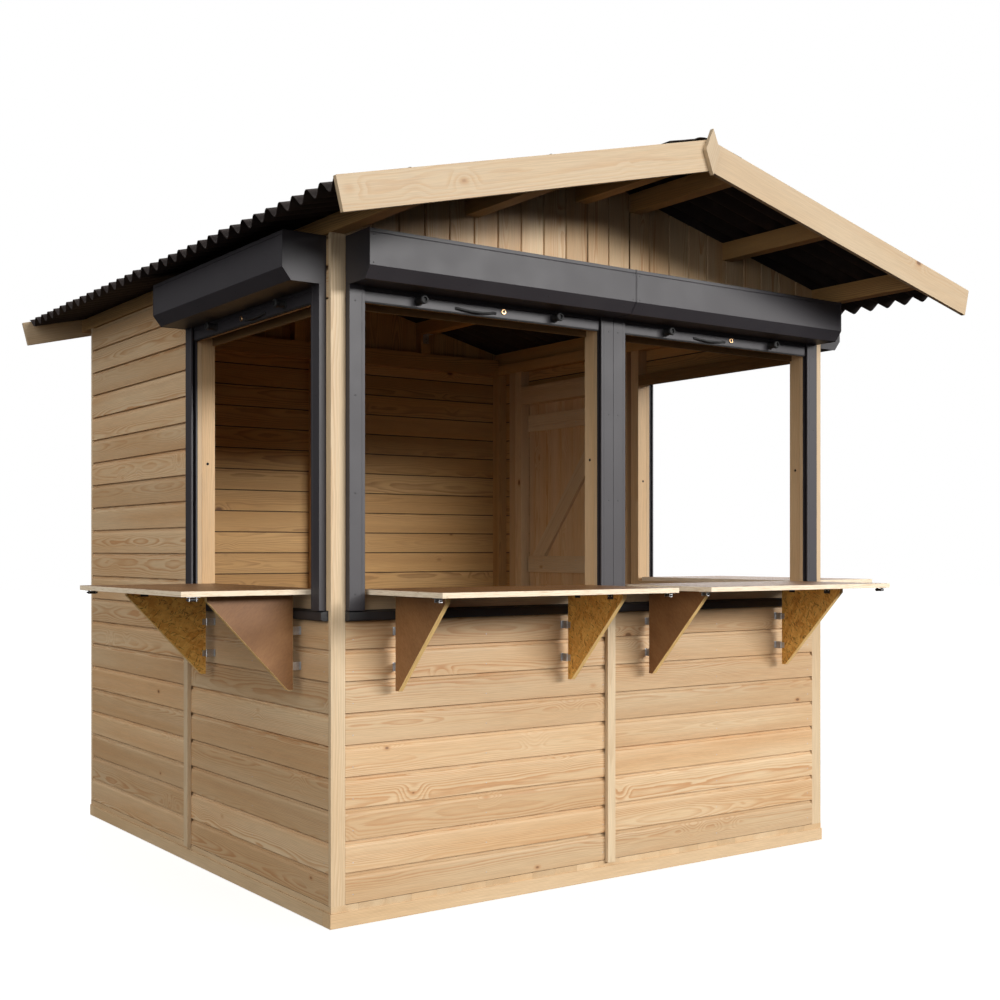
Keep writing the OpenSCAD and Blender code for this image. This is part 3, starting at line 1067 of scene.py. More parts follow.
@dataclass(frozen=True)
class Rubber(Finish):
    """Moulded black rubber, matt with a dusty bloom."""

    base: Colour = (0.016, 0.016, 0.017)
    bloom: Colour = (0.05, 0.05, 0.05)

    def mixed(self, recipe: Recipe) -> Material:
        """A soft bloom over a grainy skin.

        Args:
            recipe: the new material's nodes.

        Returns:
            The finished material.
        """
        place = recipe.place()
        bloom = recipe.noise(place, 40.0, 3.0)
        skin = recipe.noise(place, 900.0, 2.0)
        colour = recipe.mix(recipe.spread(bloom, 0.4, 0.7, 0.0, 0.5), self.base, self.bloom)
        recipe.bump(skin, 0.2, 0.3 * MM)
        return recipe.surface(Base_Color=colour, Roughness=0.7, Specular_IOR_Level=0.4)


@dataclass(frozen=True)
class Paper(Finish):
    """Plain pale studio floor, lit through from below like a light table."""

    tint: Colour = (0.86, 0.86, 0.86)
    glow: float = 0.0

    def mixed(self, recipe: Recipe) -> Material:
        """Even paper with a very faint mottle.

        Args:
            recipe: the new material's nodes.

        Returns:
            The finished material.
        """
        mottle = recipe.noise(recipe.place(), 1.2, 2.0)
        colour = recipe.mix(recipe.spread(mottle, 0.3, 0.7, 0.0, 0.25), self.tint,
                            tuple(c * 0.985 for c in self.tint))
        return recipe.surface(Base_Color=colour, Roughness=0.9, Specular_IOR_Level=0.1,
                              Emission_Color=(1.0, 1.0, 1.0), Emission_Strength=self.glow)


CLADDING = Pine("pine_cladding", warm=(0.60, 0.39, 0.205), late=(0.46, 0.205, 0.068),
                ring_gap=0.0036, contrast=0.72, knots=0.42)
JAMB_PINE = Pine("pine_jamb", pale=(0.62, 0.44, 0.255), warm=(0.56, 0.365, 0.185), contrast=0.45)
FRAME_PINE = Pine("pine_frame", pale=(0.68, 0.51, 0.32), warm=(0.62, 0.43, 0.24), contrast=0.4,
                  knots=0.22)
VERGE_PINE = Pine("pine_verge", pale=(0.53, 0.415, 0.275), warm=(0.49, 0.36, 0.22), contrast=0.34,
                  ring_gap=0.005)
TRIM_PINE = Pine("pine_trim", pale=(0.71, 0.56, 0.37), warm=(0.66, 0.48, 0.29), contrast=0.34,
                 ring_gap=0.005, knots=0.14)
# Painted shade: a darker, more saturated copy of the pine for the frame inside the stall and the
# boards' inner faces, which stand in shade.
SHADED_INNER_PINE = Pine("pine_inner_shade", pale=(0.58, 0.355, 0.145), warm=(0.51, 0.285, 0.10),
                  late=(0.21, 0.088, 0.026), contrast=0.55, roughness=0.62)
# Painted shade: very dark pine for the window heads, standing in for the shade under the shutter
# boxes.
SHADED_HEAD_PINE = Pine("pine_head_shade", pale=(0.24, 0.145, 0.06), warm=(0.20, 0.11, 0.04),
                 late=(0.11, 0.05, 0.02))
# Painted shade: near-black pine on the boards' inner chamfers and grooves, darkening the joint
# lines where shade falls.
SHADED_JOINT_PINE = Pine("pine_joint_shade", pale=(0.085, 0.045, 0.018), warm=(0.065, 0.032, 0.012),
                  late=(0.04, 0.018, 0.007))
FLOOR_PINE = Pine("pine_floor", contrast=0.45)
FILM = FilmFace("film_face")
STRANDS = StrandBoard("strand_board")
EDGE = SawnEdge("sawn_edge")
STRAND_EDGE = SawnEdge("strand_edge", light=(0.95, 0.65, 0.27), dark=(0.60, 0.32, 0.10))
ANTHRACITE = PowderCoat("anthracite_coat")
DARK_COAT = PowderCoat("dark_coat", base=(0.022, 0.022, 0.024), dust=(0.05, 0.05, 0.05))
BITUMEN = BitumenSheet("bitumen_sheet")
ZINC = Metal("zinc_plate")
BRASS = Metal("lock_brass", base=(0.42, 0.235, 0.13), worn=(0.30, 0.16, 0.08), roughness=0.6)
RUBBER = Rubber("black_rubber")
# Painted shade: the near-black finish of low domes that stand in for holes.
HOLE_SHADE = Rubber("bolt_hole", base=(0.006, 0.005, 0.004), bloom=(0.012, 0.01, 0.008))


# ---- timber ----------------------------------------------------------------------------------


def axis_vector(k: int) -> Vector:
    """Unit vector along axis 0, 1 or 2."""
    return Vector([1.0 if i == k else 0.0 for i in range(3)])


def axis_place(k: int) -> Place:
    """Places outline and depth numbers with the depth along axis k."""
    i, j = (k + 1) % 3, (k + 2) % 3
    return lambda a, b, d: axis_vector(i) * a + axis_vector(j) * b + axis_vector(k) * d


@dataclass
class Timber:
    """Plain bars: each CAD solid becomes a planed bar with eased edges and its own grain."""

    name: str
    node: str
    finish: Finish
    slot: str = "frame_pine"
    body: str = STALL
    ease: float = 2.0 * MM
    seed: int = 1
    rise: float = 0.0

    def build(self) -> None:
        """Makes all bars of the node as one piece."""
        rng = random.Random(self.seed)
        skin = Skin()
        for solid in solids_of(self.node):
            self.bar(skin, solid, rng)
        skin.fit(self.name, [self.finish], self.body, self.slot, self.node)

    def bar(self, skin: Skin, solid: Solid, rng: random.Random) -> None:
        """Adds one bar, its fibres along its longest side.

        Args:
            skin: the piece's skin.
            solid: the CAD bar.
            rng: the piece's source of chance.
        """
        k = solid.longest()
        size = solid.high - solid.low
        across = max((i for i in range(3) if i != k), key=lambda i: size[i])
        grain = Grain.cut(rng, axis_vector(k), axis_vector(across), solid.middle)
        skin.prism(solid.outline(k), (solid.low[k], solid.high[k] + self.rise), axis_place(k),
                   grain, self.ease, min(self.ease, 1.2 * MM))


@dataclass
class Plates(Timber):
    """Flat boards whose outline lies across the given axis, such as bargeboards and braces."""

    thin_axis: int = 1

    def bar(self, skin: Skin, solid: Solid, rng: random.Random) -> None:
        """Adds one board, its fibres along its longest edge.

        Args:
            skin: the piece's skin.
            solid: the CAD board.
            rng: the piece's source of chance.
        """
        k = self.thin_axis
        outline = solid.outline(k)
        edges = [(Vector(outline[i - 1]), Vector(outline[i])) for i in range(len(outline))]
        start, end = max(edges, key=lambda e: (e[1] - e[0]).length)
        place = axis_place(k)
        way = (end - start).normalized()
        along = place(way.x, way.y, 0)
        grain = Grain.cut(rng, along, along.cross(axis_vector(k)), solid.middle)
        skin.prism(outline, (solid.low[k], solid.high[k]), place, grain, self.ease,
                   min(self.ease, 1.5 * MM))


@dataclass
class HeadRails(Timber):
    """Window heads, whose lower front edge is rebated behind the shutter."""

    rebate: float = 46 * MM
    reveal: float = 34 * MM

    def bar(self, skin: Skin, solid: Solid, rng: random.Random) -> None:
        """Adds one head: a full bar above, and a set-back bar for its lowest part.

        Args:
            skin: the piece's skin.
            solid: the CAD bar.
            rng: the piece's source of chance.
        """
        k = solid.longest()
        deep = 1 - k
        grain = Grain.cut(rng, axis_vector(k), UPRIGHT, solid.middle)
        low, high, step = solid.low, solid.high, solid.low.z + self.reveal
        outer = 1 if solid.middle[deep] > 0 else -1
        for start, end, back in ((low.z, step, self.rebate), (step, high.z, 0.0)):
            near = (low[deep] + (back if outer < 0 else 0), high[deep] - (back if outer > 0 else 0))
            flat = [(near[0], start), (near[1], start), (near[1], end), (near[0], end)]
            skin.prism(flat, (low[k], high[k]),
                       lambda a, z, d: axis_vector(k) * d + axis_vector(deep) * a + UPRIGHT * z,
                       grain, self.ease, MM)


@dataclass
class Cladding:
    """Horizontal boards with a cove along their top edge, laid from the floor up."""

    name: str
    node: str
    wall: Wall
    rows: int = 21
    seed: int = 3
    gap: float = 0.9 * MM
    cove_start: float = 0.755
    cove_depth: float = 9 * MM
    tongue: float = 5 * MM
    inner_ease: float = 2.4 * MM
    slot_depth: float = 0.7
    slot_height: float = 4.0 * MM
    head_gap: float = 16 * MM
    foot_gap: float = 3 * MM
    nail_radius: float = 2.1 * MM
    nail_height: float = 0.3
    nail_pitch: float = 0.58
    nail_edge: float = 30 * MM
    inner_part: float = 0.87
    least: float = 8 * MM

    def build(self) -> None:
        """Makes every board of the wall, and its nails."""
        rng = random.Random(self.seed)
        skin = Skin()
        solids = solids_of(self.node)
        bottom = min(s.low.z for s in solids)
        top = max(s.high.z for s in solids)
        pitch = (top - bottom) / self.rows
        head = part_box("window_headers")[0].z - MM
        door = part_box("door_frame")
        for row in range(self.rows):
            for solid in solids:
                span = self.wall.span(solid)
                lift = self.head_gap if span.up[0] > head else self.foot_gap
                if self.wall.side is Side.RIGHT and door[0].y < solid.middle.y < door[1].y:
                    lift = 0.0
                span = Span(span.along, span.out, (span.up[0] + lift, span.up[1]))
                self.board(skin, span, bottom + row * pitch, pitch, rng)
        # The inner pine and the joint pine are painted shade on the inner faces and joints.
        skin.fit(self.name, [CLADDING, ZINC, SHADED_INNER_PINE, SHADED_JOINT_PINE],
                 STALL, "cladding_pine", self.node, crease=25.0)

    def profile(self, bottom: float, pitch: float, thick: float) -> list[Point]:
        """Outline of one board: out from the wall's face, and up.

        Args:
            bottom: height of the board's lower edge.
            pitch: height that one board covers.
            thick: thickness of the board.

        Returns:
            The outline, from the lower outer corner upwards.
        """
        top = bottom + pitch - self.gap
        cove = bottom + pitch * self.cove_start
        rise = self.cove_depth * 1.6
        curve = []
        for k in range(6):
            a = math.pi / 2 * k / 5
            curve.append((-self.cove_depth * (1 - math.cos(a)), cove + rise * math.sin(a)))
        groove = (-thick * 0.74, -thick * 0.88)
        slot = (-thick * self.slot_depth, top - self.slot_height)
        ease = self.inner_ease
        return ([(-1.2 * MM, bottom), (0.0, bottom + 1.2 * MM)] + curve
                + [(-self.cove_depth, slot[1]), slot, (slot[0], top), (groove[0], top),
                   (groove[0], top + self.tongue),
                   (groove[1], top + self.tongue), (groove[1], top), (-thick + ease, top),
                   (-thick, top - ease), (-thick, bottom + ease), (-thick + ease, bottom),
                   (groove[1] - 0.2 * MM, bottom), (groove[1] - 0.2 * MM, bottom + self.tongue),
                   (groove[0] + 0.2 * MM, bottom + self.tongue), (groove[0] + 0.2 * MM, bottom)])

    def board(self, skin: Skin, span: Span, bottom: float, pitch: float,
              rng: random.Random) -> None:
        """Adds the part of one board that lies inside a panel.

        Args:
            skin: the wall's skin.
            span: the panel's box.
            bottom: height of the board's lower edge.
            pitch: height that one board covers.
            rng: the wall's source of chance.
        """
        outline = self.profile(bottom, pitch, span.out[1] - span.out[0])
        outline = clip(clip(outline, span.up[1], True), span.up[0], False)
        heights = [z for _, z in outline]
        if len(outline) < 3 or max(heights) - min(heights) < self.least:
            return
        middle = self.wall.at(span.middle, 0, bottom + pitch / 2)
        grain = Grain.cut(rng, self.wall.run, UPRIGHT, middle)
        rings = [[self.wall.at(u, o, z) for o, z in outline] for u in span.along]
        skin.loft(rings, grain, edges=self.edge_slots(outline, span.out[0] - span.out[1]))
        height = bottom + pitch * self.nail_height
        if span.up[0] + 10 * MM < height < span.up[1] - 10 * MM:
            for u in self.nail_places(span):
                skin.screw(self.wall.at(u, 0, height), self.wall.outward, self.nail_radius, 1)

    def edge_slots(self, outline: Sequence[Point], back: float) -> list[int]:
        """Finish of each strip of a board: 0 outside, 2 on the inner face (painted shade), 3 in the
        inner joints (darker painted shade).

        Args:
            outline: the board's outline.
            back: place of the inner face.

        Returns:
            One slot number for each edge of the outline.
        """
        slots = []
        for start, end in zip(outline, outline[1:] + outline[:1]):
            if max(start[0], end[0]) > back * self.inner_part:
                slots.append(0)
            else:
                slots.append(2 if max(start[0], end[0]) < back + 0.1 * MM else 3)
        return slots

    def nail_places(self, span: Span) -> list[float]:
        """Places along a board where it is nailed to a stud.

        Args:
            span: the panel's box.

        Returns:
            The places.
        """
        start, end = span.along[0] + self.nail_edge, span.along[1] - self.nail_edge
        if end - start <= 4 * self.nail_edge:
            return [span.middle]
        count = max(2, round((end - start) / self.nail_pitch) + 1)
        return [start + (end - start) * k / (count - 1) for k in range(count)]


@dataclass
class GableBoards:
    """Upright matched boards of a gable, cut to the roof slope and round the purlins."""

    name: str
    node: str
    wall: Wall
    pitch: float = 106 * MM
    ease: float = 3 * MM
    gap: float = 1.6 * MM
    seed: int = 11

    def build(self) -> None:
        """Makes the boards between the eaves purlins."""
        rng = random.Random(self.seed)
        skin = Skin()
        span = self.wall.span(solids_of(self.node)[0])
        notches = [(s.low.x - MM, s.high.x + MM, s.low.z) for s in solids_of("purlins")]
        for left, right in shares(span.along, self.pitch):
            self.board(skin, span, left, right, notches, rng)
        # The gable boards' inner face takes the inner pine, which is painted shade.
        skin.fit(self.name, [CLADDING, SHADED_INNER_PINE], STALL, "cladding_pine", self.node, crease=25.0)

    def board(self, skin: Skin, span: Span, left: float, right: float,
              notches: Sequence[tuple[float, float, float]], rng: random.Random) -> None:
        """Adds one upright board, in strips where purlins pass over it.

        Args:
            skin: the gable's skin.
            span: the gable's box on its wall.
            left: the board's left edge.
            right: the board's right edge.
            notches: start, end and lower edge of each purlin.
            rng: the gable's source of chance.
        """
        middle = self.wall.at((left + right) / 2, 0, span.up[0])
        grain = Grain.cut(rng, UPRIGHT, self.wall.run, middle)
        cuts = [left, right] + [c for n in notches for c in n[:2] if left < c < right]
        cuts = sorted(cuts + ([0.0] if left < 0.0 < right else []))
        for a, b in zip(cuts, cuts[1:]):
            if b - a < MM:
                continue
            under = [n[2] for n in notches if n[0] <= (a + b) / 2 <= n[1]]
            ease = (self.ease if a == left else 0.0, self.ease if b == right else 0.0)
            self.strip(skin, span, (a, b), ease, under[0] if under else None, grain)

    def strip(self, skin: Skin, span: Span, along: Point, ease: Point, ceiling: float | None,
              grain: Grain) -> None:
        """Adds one strip of a board.

        Args:
            skin: the gable's skin.
            span: the gable's box on its wall.
            along: where the strip starts and ends.
            ease: chamfers of its two outer corners.
            ceiling: height of a purlin over it, or None under the roof.
            grain: the board's grain.
        """
        (a, b), (inner, outer) = along, span.out
        left, right = (a + self.gap if ease[0] else a), (b - self.gap if ease[1] else b)
        shelf = (inner + outer) / 2
        outline = [(a, inner), (b, inner), (b, shelf), (right, shelf + 0.1 * MM),
                   (right, outer - ease[1]), (right - ease[1], outer), (left + ease[0], outer),
                   (left, outer - ease[0]), (left, shelf + 0.1 * MM), (a, shelf)]
        reach = max(abs(span.along[0]), abs(span.along[1]))
        slope = (span.up[1] - self.edge_height(reach)) / reach

        def top(u: float) -> float:
            """Height of the board's upper end at a place along the wall."""
            roof = span.up[1] - slope * abs(u)
            return min(roof, ceiling) if ceiling is not None else roof

        skin.loft([[self.wall.at(u, o, span.up[0]) for u, o in outline],
                   [self.wall.at(u, o, top(u)) for u, o in outline]], grain,
                  edges=(1,) + (0,) * 9)

    def edge_height(self, reach: float) -> float:
        """Height of the gable's upper edge at its outer ends."""
        points = solids_of(self.node)[0].points
        return max(p[2] for p in points if abs(abs(p[0]) - reach) < MM)


@dataclass
class FloorBoards:
    """Matched floor boards that run from front to back."""

    pitch: float = 106.5 * MM
    ease: float = 2.5 * MM
    gap: float = 1.2 * MM
    seed: int = 21

    def build(self) -> None:
        """Makes the whole floor."""
        rng = random.Random(self.seed)
        skin = Skin()
        low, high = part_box("floor_deck")
        for start, end in shares((low.x, high.x), self.pitch):
            left, right = start + self.gap, end - self.gap
            grain = Grain.cut(rng, Vector((0, 1, 0)), Vector((1, 0, 0)),
                              Vector(((left + right) / 2, 0, high.z)))
            outline = [(low.z, left), (high.z, left), (high.z, right), (low.z, right)]
            skin.prism(list(reversed(outline)), (low.y, high.y), axis_place(1), grain, self.ease,
                       MM)
        skin.fit("floor_boards", [FLOOR_PINE], STALL, "floor_pine", "floor_deck")


# ---- roof ------------------------------------------------------------------------------------


@dataclass
class Roof:
    """Corrugated sheets, their nails and the ridge cap."""

    wave: float = 95 * MM
    wave_height: float = 36 * MM
    thick: float = 3 * MM
    facets: int = 12
    sheet_waves: int = 10
    nail_radius: float = 9 * MM
    nail_shift: float = 12 * MM
    lap: float = 1.6
    cap_round: float = 55 * MM
    cap_lap: float = 60 * MM
    cap_pieces: int = 3
    cap_steps: int = 10
    cap_bend: float = 0.62
    cap_nail: float = 30 * MM

    def __post_init__(self) -> None:
        """Reads the slope and the sheet's edges from the frame."""
        low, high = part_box("roof_sheet_right")
        purlins = [s for s in solids_of("purlins") if s.middle.x > 0]
        tops = []
        for s in purlins:
            inner = max(p[2] for p in s.points if abs(p[0] - s.low.x) < MM)
            outer = max(p[2] for p in s.points if abs(p[0] - s.high.x) < MM)
            tops.append((s.low.x, inner, s.high.x, outer))
        x0, z0, x1, z1 = tops[0]
        self.slope = (z0 - z1) / (x1 - x0)
        self.ridge_z = z0 + self.slope * x0
        self.tilt = math.atan(self.slope)
        self.start, self.end = low.y, high.y
        self.inner = low.x
        self.outer = high.x - (self.wave_height + self.thick) * math.sin(self.tilt)
        self.purlin_lines = [s.middle.x for s in purlins]

    def at(self, run: float, y: float, lift: float, sign: int) -> Vector:
        """A point on the roof: level distance from the ridge, along the ridge, off the slope."""
        return Vector((sign * (run + lift * math.sin(self.tilt)), y,
                       self.ridge_z - self.slope * run + lift * math.cos(self.tilt)))

    def height(self, y: float) -> float:
        """Height of the corrugation at a place along the ridge."""
        return self.wave_height / 2 * (1 - math.cos(math.tau * (y - self.start) / self.wave))

    def build(self) -> None:
        """Makes both slopes and the cap."""
        for sign, side in ((-1, "left"), (1, "right")):
            self.slope_sheets(sign, f"roof_sheets_{side}", f"roof_sheet_{side}")
        self.cap()

    def slope_sheets(self, sign: int, name: str, node: str) -> None:
        """Makes the lapped sheets of one slope and their nails.

        Args:
            sign: 1 right of the ridge, -1 left of it.
            name: name of the piece.
            node: the CAD node that it replaces.
        """
        skin = Skin()
        step = (self.sheet_waves - 1) * self.wave
        first = self.start
        while first < self.end - self.wave:
            last = min(first + step + self.wave, self.end)
            self.sheet(skin, sign, first, last, first > self.start)
            first += step
        crest = self.start + self.wave / 2
        count = int((self.end - crest) / self.wave)
        for line in self.purlin_lines:
            for k in range(0, count + 1, 2):
                self.nail(skin, sign, line + self.nail_shift, crest + k * self.wave)
        skin.fit(name, [BITUMEN, DARK_COAT], STALL, "roof_sheet", node, crease=50.0)

    def sheet(self, skin: Skin, sign: int, first: float, last: float, lapped: bool) -> None:
        """Adds one sheet; its first wave lies over the sheet before it.

        Args:
            skin: the slope's skin.
            sign: 1 right of the ridge, -1 left of it.
            first: where the sheet starts.
            last: where it ends.
            lapped: True if it lies over another sheet.
        """
        count = round((last - first) / self.wave * self.facets)
        ys = [first + (last - first) * k / count for k in range(count + 1)]

        def lift(y: float) -> float:
            """Extra height where the sheet laps over its neighbour.

            Args:
                y: place along the ridge.

            Returns:
                The extra height.
            """
            if not lapped:
                return 0.0
            t = min(1.0, max(0.0, (y - first) / (self.lap * self.wave)))
            return (self.thick + 0.4 * MM) * (1 - t * t * (3 - 2 * t))

        rings = []
        for run in (self.inner, (self.inner + self.outer) / 2, self.outer):
            under = [self.at(run, y, self.height(y) + lift(y), sign) for y in ys]
            over = [self.at(run, y, self.height(y) + lift(y) + self.thick, sign)
                    for y in reversed(ys)]
            rings.append(under + over)
        for a, b in zip(rings, rings[1:]):
            skin.loft([a, b], capped=False)
        for ring in (rings[0], rings[-1]):
            self.close_ends(skin, ring, len(ys))

    def close_ends(self, skin: Skin, ring: Sequence[Vector], count: int) -> None:
        """Closes a sheet's sawn edge with a strip of small faces.

        Args:
            skin: the slope's skin.
            ring: the edge's points, there under the sheet and back over it.
            count: how many of them lie under it.
        """
        numbers = skin.ring(ring, NO_GRAIN)
        total = len(numbers)
        for k in range(count - 1):
            skin.faces.append((numbers[k], numbers[k + 1], numbers[total - 2 - k],
                               numbers[total - 1 - k]))
            skin.slots.append(0)

    def nail(self, skin: Skin, sign: int, run: float, y: float) -> None:
        """Adds a capped nail on a crest.

        Args:
            skin: the slope's skin.
            sign: 1 right of the ridge, -1 left of it.
            run: level distance from the ridge.
            y: place along the ridge.
        """
        foot = self.at(run, y, self.height(y) + self.thick - MM, sign)
        normal = Vector((sign * math.sin(self.tilt), 0, math.cos(self.tilt)))
        r = self.nail_radius
        skin.lathe(foot, normal, [(0, r), (1.5 * MM, r), (4 * MM, r * 0.8), (5.5 * MM, r * 0.45),
                                  (6 * MM, r * 0.1)], 12, 1)

    def cap(self) -> None:
        """Makes the lapped ridge caps, round over the ridge with flat wings."""
        low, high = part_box("ridge_cap")
        reach, thick = high.x, self.thick
        lift = self.wave_height + thick
        edge = self.ridge_z - self.slope * reach + lift / math.cos(self.tilt)
        joint = edge + self.slope * (reach - self.cap_round)
        arch = high.z - 6 * MM - joint
        bend = (reach * self.cap_bend, edge + self.slope * reach * (1 - self.cap_bend))
        line: list[Point] = [(-reach, edge + MM), (-bend[0], bend[1])]
        for k in range(self.cap_steps + 1):
            t = -1 + 2 * k / self.cap_steps
            line.append((t * self.cap_round, joint + arch * (1 - t * t) ** 0.7))
        line += [bend, (reach, edge + MM)]
        skin = Skin()
        length = (high.y - low.y) / self.cap_pieces
        for k in range(self.cap_pieces):
            start = low.y + k * length
            overlap = self.cap_lap if k < self.cap_pieces - 1 else 0
            raised = 1.5 * MM * (k % 2)
            rings = []
            for y in (start, min(start + length + overlap, high.y)):
                under = [Vector((x, y, z + raised)) for x, z in line]
                over = [Vector((x, y, z + raised + thick)) for x, z in reversed(line)]
                rings.append(under + over)
            skin.loft(rings)
        for y in np.arange(low.y + self.wave * 1.5, high.y - 50 * MM, self.wave * 3):
            for sign in (-1, 1):
                foot = Vector((sign * (reach - self.cap_nail), float(y),
                               edge + self.slope * self.cap_nail + thick))
                skin.lathe(foot, Vector((sign * self.slope, 0, 1)),
                           [(0, 9 * MM), (1.5 * MM, 9 * MM), (4 * MM, 7 * MM), (6 * MM, MM)], 12, 1)
        skin.fit("ridge_caps", [BITUMEN, DARK_COAT], STALL, "roof_sheet", "ridge_cap", crease=45.0)


@dataclass
class PurlinBrackets:
    """Zinc angles with screws that tie studs to purlins."""

    plate: float = 2.5 * MM
    rib: float = 8 * MM
    gauge: float = 11 * MM
    screw_depths: Point = (14 * MM, 34 * MM)
    hole_depths: Point = (24 * MM, 42 * MM)
    screw: float = 3.2 * MM
    hole: float = 2.4 * MM

    def build(self, walls: Sequence[Wall]) -> None:
        """Makes the angles on both gables.

        Args:
            walls: the front and back walls.
        """
        skin = Skin()
        for wall in walls:
            for span in wall.spans("purlin_brackets"):
                self.angle(skin, wall, span)
        skin.fit("purlin_angles", [ZINC, HOLE_SHADE], STALL, "zinc", "purlin_brackets")

    def angle(self, skin: Skin, wall: Wall, span: Span) -> None:
        """Adds one angle with a stiffening rib, screws, and holes drawn as low domes in painted
        shade.

        Args:
            skin: the piece's skin.
            wall: the gable's wall.
            span: the angle's box.
        """
        (inner, outer), top = span.out, span.up[1]
        face, under = outer - self.plate, top - self.plate
        skin.box(wall, Span(span.along, (face, outer), span.up), cut=0.6 * MM)
        skin.box(wall, Span(span.along, (inner, face), (under, top)), cut=0.6 * MM)
        rib = Span((span.middle - 3 * MM, span.middle + 3 * MM), (face - self.rib, face),
                   (under - self.rib, under))
        skin.box(wall, rib, cut=2 * MM)
        inward = -wall.outward
        for side in (-self.gauge, self.gauge):
            for depth in self.screw_depths:
                skin.screw(wall.at(span.middle + side, face, top - depth), inward, self.screw)
                skin.screw(wall.at(span.middle + side, outer - depth, under), -UPRIGHT, self.screw)
        # Painted shade: each hole is a low dome in the near-black hole finish.
        for depth in self.hole_depths:
            spot = wall.at(span.middle, face + 0.1 * MM, top - depth)
            skin.screw(spot, inward, self.hole, 1)


# ---- windows ---------------------------------------------------------------------------------


@dataclass
class Window:
    """One serving window: its shutter box and its opening, read from the frame."""

    wall: Wall
    box: Span
    opening: Point

    @staticmethod
    def all(walls: Sequence[Wall]) -> list["Window"]:
        """Finds the windows, front ones first.

        Args:
            walls: the walls that may hold windows.

        Returns:
            One Window for each shutter box.
        """
        windows = []
        for wall in walls:
            for box in wall.spans("shutter_boxes"):
                if box.out[0] <= -5 * MM:
                    continue
                guides = [g for g in wall.spans("shutter_guides") if box.covers(g)]
                left = min(guides, key=lambda g: g.middle)
                right = max(guides, key=lambda g: g.middle)
                windows.append(Window(wall, box, (left.along[1], right.along[0])))
        return windows

    @property
    def middle(self) -> float:
        """Middle of the opening along the wall."""
        return (self.opening[0] + self.opening[1]) / 2

    def own(self, node: str, reach: float) -> list[Span]:
        """Boxes of the solids of a node that lie near the window's middle."""
        return [s for s in self.wall.spans(node) if abs(s.middle - self.middle) < reach]


def walls_of(windows: Sequence[Window]) -> list[Wall]:
    """The walls that hold windows, each once."""
    return list({w.wall.side: w.wall for w in windows}.values())


